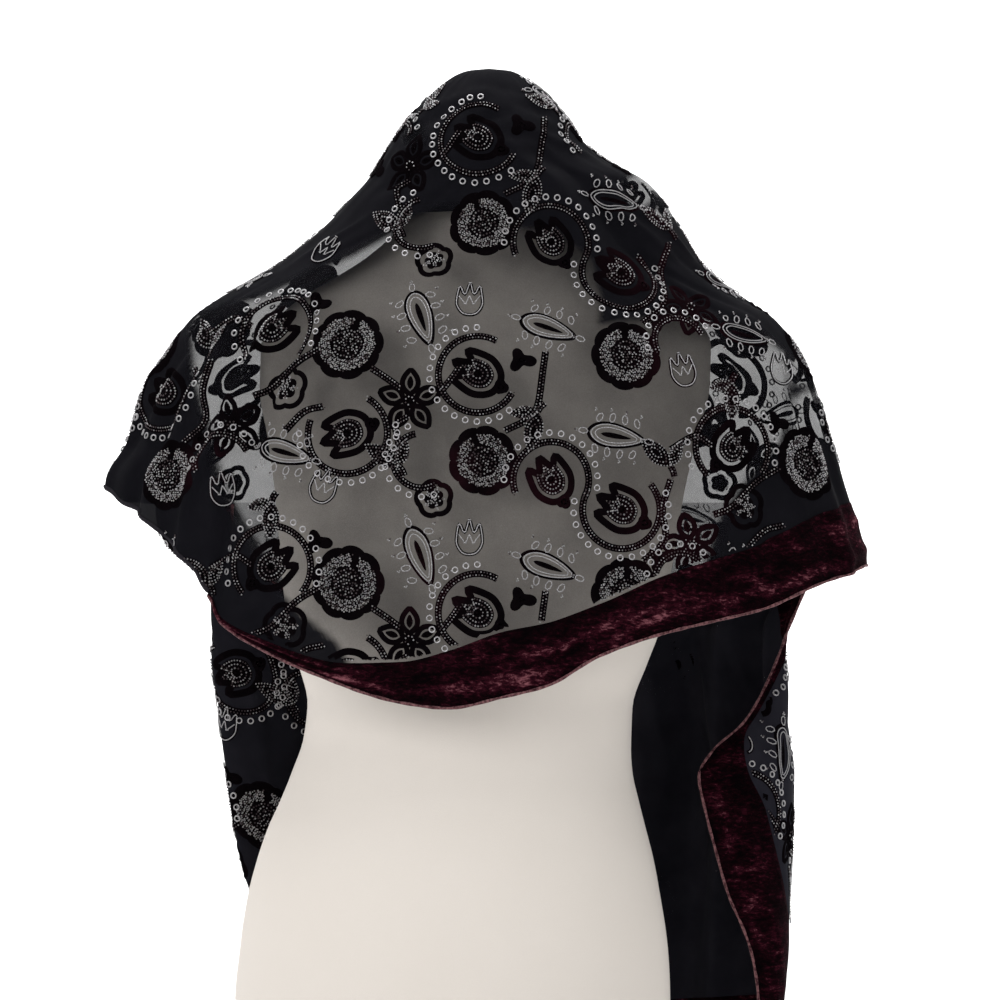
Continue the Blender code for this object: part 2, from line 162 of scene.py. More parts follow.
# Cape sections in mm: height, left side, right side, reach behind and in front of the neck
CAPE_SECTIONS = (
    (783, 14, 14, 0, 0),
    (781, -3, 31, 16, 16),
    (774, -17, 44, 30, 30),
    (759, -34, 62, 46, 46),
    (744, -47, 74, 57, 57),
    (729, -58, 84, 63, 63),
    (714, -67, 102, 68, 67),
    (699, -77, 131, 72, 70),
    (684, -91, 145, 76, 72),
    (669, -104, 154, 79, 75),
    (654, -121, 163, 83, 79),
    (639, -140, 172, 88, 84),
    (624, -164, 186, 93, 90),
    (609, -191, 206, 99, 97),
    (594, -211, 228, 105, 104),
    (564, -229, 251, 115, 118),
    (534, -245, 263, 121, 129),
    (504, -254, 272, 124, 136),
    (474, -270, 281, 126, 140),
    (444, -272, 290, 127, 142),
    (414, -272, 298, 128, 142),
    (360, -272, 300, 129, 142),
    (300, -272, 300, 131, 142),
)

# Hem of the cape: angle from straight behind in degrees (right is positive),
# height of the edge in mm, height of the velvet border over it
HEM = (
    (-47, 388, 3),
    (-44, 369, 4),
    (-35, 347, 8),
    (-22, 323, 16),
    (-13, 310, 30),
    (-6, 306, 42),
    (2, 314, 48),
    (9, 323, 46),
    (17, 345, 38),
    (27, 361, 42),
    (36, 370, 45),
    (45, 378, 47),
    (59, 396, 48),
    (70, 404, 49),
    (84, 410, 47),
    (100, 410, 47),
    (118, 410, 47),
)

# Degrees by which the hem border's last column stops short of the fall's seam
HEM_END_TURN = 0.5

# The seam from which a fall hangs: its height, and the angles of its two ends
FALL_TOP = 457
FALL_OUTER_ANGLE = 118
FALL_INNER_ANGLE = 150.5

# Where a fall leaves the cape: the angle of its inner edge on the cape, and how far
# below the seam it takes to hang in its own shape
FALL_EDGE_ANGLE = 161
FALL_BLEND = 75

# Left wing, where the cloth turns under: angle, height of the turned edge in mm
WING = (
    (-118, 457),
    (-100, 462),
    (-87, 470),
    (-76, 460),
    (-66, 448),
    (-57, 432),
    (-50, 410),
    (-47, 391),
)

# Upper edge of the shawl round the neck, from the seam of a fall to the middle of the
# front: angle and height of the edge, angle and height where its border ends
NECK_BAND = (
    (161.0, 457, 150.5, 457),
    (162.8, 510, 151.6, 510),
    (164.8, 560, 153.0, 562),
    (167.5, 612, 155.2, 622),
    (171.0, 652, 158.6, 668),
    (175.5, 680, 166.0, 712),
    (180.0, 690, 180.0, 734),
)

# Folds of the cape in mm: angle and height at the top, angle and height at the foot,
# depth (a trough is negative), width
CAPE_FOLDS = (
    (-34, 640, -46, 380, -8, 9),
    (-41, 640, -54, 380, 6, 9),
    (-60, 620, -70, 430, -7, 13),
    (-80, 610, -84, 440, 5, 13),
    (6, 745, 40, 610, 4, 10),
    (22, 735, 58, 590, -5, 11),
    (44, 600, 50, 400, -4, 14),
    (66, 600, 70, 390, 5, 15),
    (88, 620, 92, 390, -6, 13),
    (-8, 720, -26, 560, -3, 13),
    (-18, 470, -20, 290, 3, 16),
    (14, 470, 12, 290, -3, 15),
    (101, 640, 104, 380, 5, 12),
    (109, 650, 111, 380, -5, 11),
    (125, 660, 126, 400, -5, 12),
    (133, 660, 134, 400, 5, 12),
    (141, 660, 142, 400, -5, 11),
    (-100, 640, -103, 420, -5, 12),
    (-109, 650, -109, 420, 5, 11),
    (-125, 660, -126, 400, -5, 12),
    (-133, 660, -134, 400, 5, 12),
    (-141, 660, -142, 400, 5, 11),
)

# Sections of the falls in mm: height, inner edge x and y, fold ridge x and y,
# y that the cloth turns round to behind the ridge, free edge x and y
RIGHT_FALL = (
    (457, 107, 142, 266, 75, 75, 266, 75),
    (400, 96, 148, 256, 70, 70, 256, 70),
    (356, 84, 150, 239, 62, 62, 239, 62),
    (345, 81, 150, 239, 61, 54, 235, 55),
    (307, 76, 151, 241, 57, 32, 217, 36),
    (290, 75, 151, 241, 56, 22, 205, 26),
    (270, 73, 151, 243, 54, 8, 182, 13),
    (252, 72, 151, 244, 52, 2, 172, 8),
    (225, 71, 151, 244, 51, 2, 177, 8),
    (198, 70, 151, 243, 50, 3, 184, 9),
    (163, 70, 150, 242, 48, 6, 194, 11),
    (133, 70, 150, 241, 47, 10, 207, 15),
    (113, 70, 150, 240, 46, 13, 213, 17),
    (84, 71, 149, 237, 46, 16, 217, 19),
    (20, 73, 148, 232, 47, 20, 219, 22),
)
LEFT_FALL = (
    (457, -80, 142, -238, 75, 52, -178, 40),
    (440, -78, 144, -230, 74, 50, -172, 42),
    (420, -76, 147, -213, 73, 48, -160, 50),
    (400, -74, 149, -199, 72, 46, -148, 58),
    (384, -72, 150, -197, 71, 45, -130, 68),
    (342, -68, 151, -197, 71, 45, -84, 95),
    (302, -64, 151, -192, 72, 48, -76, 104),
    (258, -60, 152, -187, 73, 52, -72, 112),
    (216, -56, 153, -181, 77, 58, -70, 118),
    (181, -54, 154, -174, 82, 66, -68, 122),
    (156, -52, 154, -166, 88, 74, -66, 124),
    (120, -50, 154, -154, 97, 86, -64, 126),
    (70, -48, 154, -140, 104, 96, -62, 127),
)

# Pleats of the falls: place from inner edge (0) to ridge (1), depth in mm, width in mm
RIGHT_PLEATS = (
    (0.10, 8, 15),
    (0.23, -9, 15),
    (0.37, 10, 16),
    (0.51, -9, 15),
    (0.64, 8, 15),
    (0.78, -7, 14),
)
LEFT_PLEATS = (
    (0.12, 7, 14),
    (0.27, -8, 14),
    (0.42, 9, 15),
    (0.57, -8, 14),
    (0.72, 7, 13),
)

# Border along the right fall's outer edge in mm: height, width that lies on the outside
RIGHT_BORDER = (
    (457, 45),
    (400, 40),
    (359, 18),
    (345, 7),
    (307, 5),
    (290, 6),
    (270, 24),
    (252, 38),
    (225, 46),
    (198, 47),
    (163, 48),
    (20, 46),
)
LEFT_BORDER = (
    (457, 6),
    (384, 8),
    (342, 34),
    (302, 44),
    (70, 45),
)

# Lower ends of the falls in mm: height at the inner edge, height at the free edge
RIGHT_END = (24, 44)
LEFT_END = (92, 118)

# Fine creases of the cape: angle and height where one starts, angle and height where it
# ends, depth (a trough is negative), width
CREASES = (
    (-52, 600, -38, 470, -2.2, 5),
    (-30, 660, -48, 560, 1.8, 5),
    (-22, 690, -52, 640, -1.6, 4),
    (-12, 640, -30, 600, 1.2, 5),
    (2, 600, -16, 520, -1.0, 6),
    (12, 660, 30, 640, 1.5, 5),
    (20, 640, 44, 560, -1.8, 6),
    (35, 690, 62, 640, 2.0, 5),
    (40, 650, 70, 600, -2.2, 5),
    (28, 500, 36, 420, 1.4, 7),
    (-6, 420, 8, 350, 1.2, 6),
    (-24, 440, -14, 350, -1.4, 6),
    (14, 430, 22, 380, -1.1, 5),
    (56, 520, 60, 430, 1.8, 6),
    (74, 560, 76, 440, -2.4, 6),
    (82, 600, 80, 470, 2.2, 5),
    (-58, 560, -64, 450, 2.4, 5),
    (-66, 620, -78, 500, -2.6, 6),
    (-74, 590, -92, 500, 2.0, 5),
    (-88, 640, -96, 520, -2.2, 6),
    (92, 660, 98, 520, 2.0, 6),
    (99, 640, 104, 500, -2.4, 6),
    (112, 690, 116, 540, 2.2, 6),
    (122, 700, 122, 560, -2.0, 6),
    (133, 690, 130, 540, 1.8, 6),
    (144, 680, 139, 540, -1.8, 5),
    (-104, 690, -104, 560, 2.2, 6),
    (-116, 690, -118, 540, -2.2, 6),
    (-128, 700, -126, 550, 2.0, 6),
    (-138, 680, -134, 540, -1.8, 6),
    (-147, 660, -142, 530, 1.6, 5),
    (-10, 742, 20, 748, -2.2, 4),
    (-28, 728, 34, 722, 1.6, 4),
    (30, 700, 54, 668, -1.8, 5),
    (-160, 720, -120, 706, 1.6, 5),
    (150, 725, 118, 700, -1.6, 5),
    (-40, 774, 40, 764, -2.0, 4),
    (-55, 752, 10, 768, 1.8, 4),
    (-62, 736, -20, 752, -2.2, 5),
    (20, 756, 62, 744, -2.0, 5),
    (30, 734, 66, 716, 2.2, 5),
    (-64, 712, -36, 730, 2.0, 5),
    (-58, 690, -34, 712, -2.0, 5),
    (46, 700, 68, 678, -2.4, 5),
    (60, 672, 76, 640, 2.4, 5),
    (-52, 668, -66, 640, 2.2, 5),
    (64, 640, 84, 606, -2.2, 6),
)

# The see-through part of the cape, where the cloth lies single, as an outline in the back
# view: places to the right and up
SHEER_OUTLINE = (
    (-210, 585), (-205, 598), (-157, 612), (-120, 630), (-90, 643), (-50, 665), (-28, 676), (10, 679),
    (30, 661), (66, 657), (90, 637), (97, 608), (95, 588), (121, 592), (155, 597), (190, 594),
    (217, 586), (236, 570), (241, 535), (235, 504), (223, 487), (206, 470), (192, 450), (172, 385),
    (67, 300), (-52, 270), (-97, 354), (-125, 377), (-149, 401), (-165, 431), (-188, 471), (-197, 511),
    (-208, 549),
)

# Small see-through spots in the doubled cloth: right, height, reach
SHEER_SPOTS = (
    (127, 691, 13),
    (145, 673, 8),
    (258, 522, 20),
    (250, 556, 12),
    (-41, 732, 9),
    (-166, 478, 9),
)
SHEER_EDGE = 7
FRONT_LAYERS = 0.45

# Fine creases of a fall: place across (0 at the inner edge, 1 at the free edge) and height
# where one starts and ends, depth, width
FALL_CREASES = (
    (0.08, 430, 0.12, 250, -1.8, 6),
    (0.17, 410, 0.15, 180, 1.6, 6),
    (0.28, 440, 0.25, 200, -1.6, 6),
    (0.36, 380, 0.40, 120, 1.8, 6),
    (0.47, 430, 0.44, 260, -2.0, 6),
    (0.52, 300, 0.55, 90, 1.6, 5),
    (0.63, 400, 0.60, 220, -1.8, 6),
    (0.70, 340, 0.72, 140, 1.6, 6),
    (0.82, 300, 0.78, 110, -1.6, 6),
    (0.90, 260, 0.93, 120, 1.2, 6),
)

# The back carries the repeat of the falls in its own view. Each column of repeats starts
# half a repeat lower than the one before it.
BACK_COLUMNS = 2
BACK_LEFT = -258
BACK_FOOT = 268
BACK_TOP = 800
BACK_ANGLE = 79

# Motifs of the sides and front of the cape: kind, angle from straight behind, height,
# turn, size. The left side has the same ones, mirrored.
SIDE_MOTIFS = (
    ("rosette", 88, 566, 0, 50),
    ("marquise", 84, 622, 60, 34),
    ("bud", 96, 520, 120, 36),
    ("leaf_pair", 92, 480, 20, 30),
    ("flower", 101, 602, 10, 42),
    ("lotus", 104, 560, -10, 24),
    ("bud", 108, 640, 70, 34),
    ("star", 107, 490, 10, 30),
    ("rosette", 118, 590, 30, 52),
    ("marquise", 117, 524, 80, 38),
    ("butterfly", 111, 616, 30, 22),
    ("leaf_pair", 124, 650, 160, 30),
    ("bud", 130, 552, -60, 38),
    ("butterfly", 136, 524, 10, 22),
    ("rosette", 134, 620, -20, 48),
    ("marquise", 140, 676, 70, 34),
    ("bud", 124, 692, 60, 30),
    ("flower", 128, 490, 0, 42),
    ("lotus", 141, 574, 20, 24),
    ("leaf_pair", 142, 500, 30, 30),
    ("star", 138, 472, 0, 24),
    ("leaf_pair", 104, 684, 150, 28),
    ("bud", 150, 700, 110, 28),
    ("leaf_pair", 62, 752, 30, 28),
    ("bud", 84, 740, -40, 30),
    ("butterfly", 74, 706, 10, 22),
    ("star", 92, 714, 0, 24),
    ("marquise", 106, 744, 20, 28),
    ("rosette", 128, 738, 0, 36),
    ("flower", 158, 742, 0, 32),
    ("leaf_pair", 148, 766, 20, 24),
)
SIDE_SCROLLS = (
    (96, 518, 29, 150, 400, 170, 380),
    (108, 640, 28, -60, 190, -40, 160),
    (130, 552, 30, 10, 280, 40, 260),
    (124, 692, 24, 160, 360, 180, 340),
    (110, 566, 22, 60, 250, 70, 240),
    (140, 600, 20, -90, 110, -70, 90),
    (142, 528, 20, 100, 300, 120, 280),
    (88, 510, 18, 60, 260, 80, 240),
    (72, 724, 20, 30, 200, 40, 190),
    (100, 722, 18, 160, 330, 170, 320),
    (142, 722, 20, 20, 190, 30, 180),
)

# One repeat of the pattern for the falls and the back: kind, distance across, height over the repeat's
# foot, turn, size
REPEAT_HEIGHT = 176
REPEAT_WIDTH = 340
REPEAT_MOTIFS = (
    ("marquise", 26, 150, 80, 38),
    ("bud", 30, 96, 60, 38),
    ("rosette", 34, 34, 0, 52),
    ("leaf_pair", 66, 128, 20, 32),
    ("flower", 82, 70, 15, 44),
    ("lotus", 76, 22, 10, 24),
    ("butterfly", 58, 60, 20, 22),
    ("bud", 112, 142, -50, 38),
    ("star", 122, 98, 0, 32),
    ("marquise", 122, 50, 75, 38),
    ("leaf_pair", 112, 14, 150, 30),
    ("rosette", 168, 130, -20, 54),
    ("bud", 168, 64, 110, 38),
    ("lotus", 150, 24, -20, 24),
    ("butterfly", 146, 160, 0, 22),
    ("marquise", 222, 150, 20, 40),
    ("flower", 214, 88, 0, 44),
    ("leaf_pair", 206, 40, 30, 32),
    ("star", 232, 16, 0, 26),
    ("bud", 264, 108, 60, 38),
    ("rosette", 268, 44, 20, 50),
    ("lotus", 258, 162, 0, 24),
    ("marquise", 316, 142, 70, 38),
    ("leaf_pair", 308, 80, 140, 32),
    ("bud", 318, 30, 30, 36),
    ("butterfly", 296, 118, 0, 22),
)
REPEAT_SCROLLS = (
    (30, 96, 29, 150, 400, 170, 380),
    (112, 142, 30, -40, 220, -20, 200),
    (168, 64, 30, 160, 420, 180, 370),
    (264, 108, 29, 60, 330, 90, 310),
    (74, 44, 20, 20, 200, 30, 190),
    (222, 44, 20, 100, 300, 110, 290),
    (318, 30, 28, -30, 200, -10, 180),
)
REPEAT_STEMS = (
    ((46, 58), (62, 74), (60, 96), (66, 118)),
    ((66, 140), (84, 150), (96, 144)),
    ((98, 92), (112, 98), (130, 116), (146, 126)),
    ((122, 66), (136, 80), (150, 84)),
    ((186, 112), (198, 104), (206, 98)),
    ((206, 56), (204, 70), (212, 76)),
    ((238, 96), (246, 106), (250, 112)),
    ((284, 66), (300, 74), (308, 84), (312, 110), (314, 124)),
)

# Painted sheen: spots where the velvet of the motifs is coloured wine red, as its pile looks where light
# falls on it: right, height, reach
PAINTED_SHEEN_SPOTS = (
    (45, 455, 34),
    (-34, 400, 30),
    (152, 444, 40),
    (170, 560, 46),
    (150, 650, 50),
    (-194, 480, 20),
    (-12, 480, 18),
)


# Tables and lines

def column(rows, index):
    return np.array([row[index] for row in rows], dtype=float)


def smooth(keys, values, wanted):
    """A smooth curve through a table, which never overshoots its rows."""
    order = np.argsort(keys)
    x = np.asarray(keys, dtype=float)[order]
    y = np.asarray(values, dtype=float)[order]
    step = np.diff(x)
    slope = np.diff(y) / step
    tangent = np.zeros_like(y)
    tangent[0] = slope[0]
    tangent[-1] = slope[-1]
    product = slope[:-1] * slope[1:]
    mean = 2 * product / np.where(product > 0, slope[:-1] + slope[1:], 1.0)
    tangent[1:-1] = np.where(product > 0, mean, 0.0)
    wanted = np.clip(wanted, x[0], x[-1])
    cell = np.clip(np.searchsorted(x, wanted) - 1, 0, len(x) - 2)
    width = step[cell]
    t = (wanted - x[cell]) / width
    start = (1 + 2 * t) * (1 - t) ** 2 * y[cell] + t * (1 - t) ** 2 * width * tangent[cell]
    end = t * t * (3 - 2 * t) * y[cell + 1] + t * t * (t - 1) * width * tangent[cell + 1]
    return start + end


def ease(value):
    value = np.clip(value, 0.0, 1.0)
    return value * value * (3 - 2 * value)


def walked(points):
    """How far along a line each of its points lies."""
    return np.concatenate(([0.0], np.cumsum(np.linalg.norm(np.diff(points, axis=0), axis=1))))


def evenly(line, step, closed=False):
    """Points at even distances along a line, with the direction of the line at each."""
    line = np.asarray(line, dtype=float)
    if closed:
        line = np.vstack((line, line[:1]))
    distance = walked(line)
    count = max(int(round(distance[-1] / step)), 3 if closed else 1)
    wanted = np.linspace(0, distance[-1], count + 1)
    if closed:
        wanted = wanted[:-1]
    points = np.column_stack([np.interp(wanted, distance, line[:, axis]) for axis in range(line.shape[1])])
    if closed:
        run = np.roll(points, -1, axis=0) - np.roll(points, 1, axis=0)
    else:
        run = np.gradient(points, axis=0)
    run /= np.maximum(np.linalg.norm(run, axis=1), 1e-9)[:, None]
    return points, run


def rounded(corners, closed=False, steps=6):
    """A smooth line through a few corners."""
    corners = np.asarray(corners, dtype=float)
    if closed:
        before, here = np.roll(corners, 1, axis=0), corners
        following, after = np.roll(corners, -1, axis=0), np.roll(corners, -2, axis=0)
    else:
        wide = np.vstack((2 * corners[0] - corners[1], corners, 2 * corners[-1] - corners[-2]))
        before, here, following, after = wide[:-3], wide[1:-2], wide[2:-1], wide[3:]
    t = np.arange(steps)[None, :, None] / steps
    a, b, c, d = (value[:, None, :] for value in (before, here, following, after))
    square = (2 * a - 5 * b + 4 * c - d) * t ** 2
    cube = (3 * b - a - 3 * c + d) * t ** 3
    line = 0.5 * (2 * b + (c - a) * t + square + cube)
    line = line.reshape(-1, corners.shape[1])
    return line if closed else np.vstack((line, corners[-1:]))


def creases(table, across, height, scale):
    """How far soft creases lift a surface, for places across it and their heights."""
    lift = np.zeros(np.broadcast(across, height).shape)
    for start, top, end, foot, depth, width in table:
        run_x = (end - start) * scale
        run_y = foot - top
        x = (across - start) * scale
        y = height - top
        along = np.clip((x * run_x + y * run_y) / (run_x ** 2 + run_y ** 2), 0, 1)
        away = np.hypot(x - along * run_x, y - along * run_y)
        lift = lift + depth * (0.35 + 0.65 * np.sin(math.pi * along)) * np.exp(-(away / width) ** 2)
    return lift


# Cape surface

def cape_drop(height):
    """How far down the cape's slope a height lies, so that the top is a round dome."""
    heights = column(CAPE_SECTIONS, 0)
    reach = (column(CAPE_SECTIONS, 2) - column(CAPE_SECTIONS, 1)) / 2
    steps = np.hypot(np.diff(heights), np.diff(reach))
    drops = np.concatenate(([0], np.cumsum(steps)))
    return smooth(heights, drops, height)


def cape_height(drop):
    heights = column(CAPE_SECTIONS, 0)
    return smooth(cape_drop(heights), heights, drop)


def cape_fold(angle, height, width):
    depth = np.zeros(np.broadcast(angle, height).shape)
    for top_angle, top, foot_angle, foot, fold_depth, fold_width in CAPE_FOLDS:
        along = (top - height) / (top - foot)
        centre = top_angle + (foot_angle - top_angle) * np.clip(along, 0, 1)
        away = np.radians(angle - centre) * width
        window = ease(along / 0.35) * ease((1.12 - along) / 0.3)
        depth = depth + fold_depth * window * np.exp(-(away / fold_width) ** 2)
    return depth


def cape_section(height):
    """Left and right side, reach behind and reach before the neck at a height."""
    drop = cape_drop(height)
    drops = cape_drop(column(CAPE_SECTIONS, 0))
    return [smooth(drops, column(CAPE_SECTIONS, index), drop) for index in range(1, 5)]


def cape_point(angle, height):
    """A point of the cape at an angle from straight behind and a height."""
    angle = np.asarray(angle, dtype=float)
    height = np.asarray(height, dtype=float)
    left, right, behind, before = cape_section(height)
    half = (right - left) / 2
    turn = np.radians(angle)
    reach = np.where(np.cos(turn) > 0, behind, before)
    fold = cape_fold((angle + 180) % 360 - 180, height, half)
    x = (left + right) / 2 + (half + fold) * np.sin(turn)
    y = NECK_CENTRE[1] - (reach + fold) * np.cos(turn)
    return np.stack((x, y, height + 0 * x), axis=-1)


def resample(points, count):
    """Points at even distances along a line of (angle, height) rows on the cape."""
    keys = np.linspace(0, 1, len(points))
    fine = np.linspace(0, 1, LINE_STEPS)
    angle = smooth(keys, column(points, 0), fine)
    height = smooth(keys, column(points, 1), fine)
    distance = walked(cape_point(angle, height))
    wanted = np.linspace(0, distance[-1], count + 1)
    return np.column_stack((np.interp(wanted, distance, angle), np.interp(wanted, distance, height)))


def cape_lines():
    """The lower line of the beaded ground, stretch by stretch round the cape."""
    hem = [(row[0], row[1] + row[2]) for row in HEM]
    right_seam = [(FALL_OUTER_ANGLE, FALL_TOP), (FALL_INNER_ANGLE, FALL_TOP)]
    right_neck = [(row[2], row[3]) for row in NECK_BAND]
    left_neck = [(-row[2], row[3]) for row in reversed(NECK_BAND)]
    left_seam = [(-FALL_INNER_ANGLE, FALL_TOP), (-FALL_OUTER_ANGLE, FALL_TOP)]
    return {
        "hem": resample(hem, HEM_COLUMNS),
        "right_seam": resample(right_seam, SEAM_COLUMNS),
        "right_neck": resample(right_neck, NECK_COLUMNS),
        "left_neck": resample(left_neck, NECK_COLUMNS),
        "left_seam": resample(left_seam, SEAM_COLUMNS),
        "wing": resample(list(WING), WING_COLUMNS),
    }


def plain_angle(angle):
    return (np.asarray(angle) + 180) % 360 - 180


# Surfaces that pieces and patterns are laid on

class Surface:
    """A dense sheet of points. A place on it is a column number and a row number."""

    def __init__(self, points, outward=1):
        self.points = points
        across = np.gradient(points, axis=1)
        down = np.gradient(points, axis=0)
        normal = np.cross(down, across) * outward
        length = np.linalg.norm(normal, axis=2)
        self.normals = normal / np.maximum(length, 1e-9)[:, :, None]

    def read(self, field, places):
        rows, columns = field.shape[:2]
        across = np.clip(places[..., 0], 0, columns - 1.001)
        down = np.clip(places[..., 1], 0, rows - 1.001)
        left = across.astype(int)
        top = down.astype(int)
        x = (across - left)[..., None]
        y = (down - top)[..., None]
        upper = field[top, left] * (1 - x) + field[top, left + 1] * x
        lower = field[top + 1, left] * (1 - x) + field[top + 1, left + 1] * x
        return upper * (1 - y) + lower * y

    def normal(self, places):
        found = self.read(self.normals, places)
        return found / np.maximum(np.linalg.norm(found, axis=-1), 1e-9)[..., None]

    def at(self, places, lift=0.0):
        """Points on the sheet, or lifted off its outer face by a distance."""
        places = np.asarray(places, dtype=float)
        return self.read(self.points, places) + self.normal(places) * np.asarray(lift)[..., None]

    def slopes(self, places):
        """How the point moves for one column and for one row."""
        step = 0.5
        across = self.read(self.points, places + (step, 0)) - self.read(self.points, places - (step, 0))
        down = self.read(self.points, places + (0, step)) - self.read(self.points, places - (0, step))
        return across / (2 * step), down / (2 * step)

    def walk(self, start, local, turn):
        """Places reached from one place by flat steps to the right and up, turned by an angle."""
        start = np.asarray(start, dtype=float)
        local = np.atleast_2d(local)
        across = self.slopes(start[None])[0][0]
        outward = self.normal(start[None])[0]
        right = across - outward * across.dot(outward)
        right /= np.linalg.norm(right)
        up = np.cross(outward, right)
        up = up if up[2] >= 0 else -up
        angle = math.radians(turn)
        x = local[:, 0] * math.cos(angle) - local[:, 1] * math.sin(angle)
        y = local[:, 0] * math.sin(angle) + local[:, 1] * math.cos(angle)
        heading = x[:, None] * right + y[:, None] * up
        length = np.linalg.norm(heading, axis=1)
        places = np.repeat(start[None], len(local), axis=0)
        for _ in range(WALK_STEPS):
            face = self.normal(places)
            level = heading - face * (heading * face).sum(axis=1)[:, None]
            level *= (length / np.maximum(np.linalg.norm(level, axis=1), 1e-9))[:, None] / WALK_STEPS
            across, down = self.slopes(places)
            aa = (across * across).sum(axis=1)
            dd = (down * down).sum(axis=1)
            ad = (across * down).sum(axis=1)
            la = (level * across).sum(axis=1)
            ld = (level * down).sum(axis=1)
            spread = np.maximum(aa * dd - ad * ad, 1e-9)
            places = places + np.column_stack((la * dd - ld * ad, ld * aa - la * ad)) / spread[:, None]
        return places


class CapeSurface(Surface):
    """The cape, creases included. Columns are angles, rows are distances down its slope."""

    def __init__(self, lines):
        angle = np.arange(-CAPE_REACH, CAPE_REACH + CAPE_DEGREES, CAPE_DEGREES)
        self.deepest = float(cape_drop(CAPE_SECTIONS[-1][0]))
        drop = np.arange(FIRST_DROP, self.deepest, CAPE_DROP_STEP)
        turn, fall = np.meshgrid(angle, drop)
        height = cape_height(fall)
        points = cape_point(turn, height)
        super().__init__(points)
        folded = plain_angle(turn)
        seam = ease((np.abs(folded) - 108) / 8) * ease((FALL_TOP + 40 - height) / 40)
        lift = creases(CREASES, folded, height, 3.2) * (1 - seam)
        lift += 0.35 * np.sin(folded / 3.3 + height / 19) * np.sin(height / 12 - folded / 6) * (1 - seam)
        lift *= ease(fall / 60)
        super().__init__(points + self.normals * lift[:, :, None])
        order = ("wing", "hem", "right_seam", "right_neck", "left_neck", "left_seam")
        self.edge = np.concatenate([lines[name][:-1] for name in order])
        edge_angle = plain_angle(self.edge[:, 0])
        order = np.argsort(edge_angle, kind="stable")
        self.edge_angle = edge_angle[order]
        self.edge_drop = cape_drop(self.edge[order, 1])

    def place(self, angle, height):
        """The place at an angle from straight behind and a height."""
        angle, height = np.broadcast_arrays(np.asarray(angle, float), np.asarray(height, float))
        column_place = (angle + CAPE_REACH) / CAPE_DEGREES
        row_place = (cape_drop(height) - FIRST_DROP) / CAPE_DROP_STEP
        return np.stack((column_place, row_place), axis=-1)

    def seen(self, spots):
        """The places of spots of the back view, given to the right and up."""
        spots = np.atleast_2d(np.asarray(spots, dtype=float))
        left, right = cape_section(spots[:, 1])[:2]
        middle, half = (left + right) / 2, (right - left) / 2
        angle = np.zeros(len(spots))
        for _ in range(8):
            reach = half + cape_fold(angle, spots[:, 1], half)
            angle = np.degrees(np.arcsin(np.clip((spots[:, 0] - middle) / reach, -0.995, 0.995)))
        return self.place(angle, spots[:, 1])

    def inside(self, places):
        """Which places lie on the beaded ground, clear of its borders."""
        angle = plain_angle(places[..., 0] * CAPE_DEGREES - CAPE_REACH)
        drop = places[..., 1] * CAPE_DROP_STEP + FIRST_DROP
        limit = np.interp(angle, self.edge_angle, self.edge_drop)
        steep = np.abs(angle) > FALL_INNER_ANGLE - 6
        near = np.minimum(
            np.interp(angle - 2.5, self.edge_angle, self.edge_drop),
            np.interp(angle + 2.5, self.edge_angle, self.edge_drop),
        )
        return (drop < np.where(steep, np.minimum(limit, near), limit) - BORDER_CLEAR) & (places[..., 1] > 1)


class FallSurface(Surface):
    """A hanging end. Columns are shares of its width, rows are distances down from its top."""

    def __init__(self, rows, pleats, side, border, end):
        self.side = side
        self.border = border
        self.end = end
        heights = np.arange(FALL_TOP, min(end) - FALL_STEP, -FALL_STEP, dtype=float)
        shares = np.linspace(0, 1, FALL_SHARES + 1)
        grid, lengths = [], []
        for height in heights:
            section = fall_section(rows, pleats, side, height)
            distance = walked(section)
            wanted = shares * distance[-1]
            line = np.column_stack([np.interp(wanted, distance, section[:, axis]) for axis in (0, 1)])
            grid.append(np.column_stack((line, np.full(len(line), height))))
            lengths.append(distance[-1])
        self.heights = heights
        self.lengths = np.array(lengths)
        super().__init__(np.array(grid), outward=-side)
        across, height = np.meshgrid(shares, heights)
        below = ease((FALL_TOP - height) / 50)
        lift = creases(FALL_CREASES, across, height, self.lengths.mean())
        lift += 0.35 * np.sin(across * 46 + height / 23) * np.sin(height / 14 - across * 21)
        edge = ease(np.minimum(across, 1 - across) / 0.04)
        super().__init__(self.points + self.normals * (lift * below * edge)[:, :, None], outward=-side)

    def length(self, height):
        return np.interp(height, self.heights[::-1], self.lengths[::-1])

    def foot(self, share):
        return self.end[0] + (self.end[1] - self.end[0]) * share

    def border_width(self, height):
        return smooth(column(self.border, 0), column(self.border, 1), height)

    def place(self, distance, height):
        """The place at a distance from the inner edge and a height."""
        distance, height = np.broadcast_arrays(np.asarray(distance, float), np.asarray(height, float))
        share = distance / self.length(height)
        return np.stack((share * FALL_SHARES, (FALL_TOP - height) / FALL_STEP), axis=-1)

    def inside(self, places):
        """Which places lie on the beaded ground, clear of its borders."""
        share = places[..., 0] / FALL_SHARES
        height = FALL_TOP - places[..., 1] * FALL_STEP
        length = self.length(height)
        distance = share * length
        past_inner = distance > BORDER_WIDTH + BORDER_CLEAR
        before_outer = distance < length - self.border_width(height) - BORDER_CLEAR
        above_end = height > self.foot(share) + BORDER_WIDTH + BORDER_CLEAR
        return past_inner & before_outer & above_end & (height < FALL_TOP - 1.0)


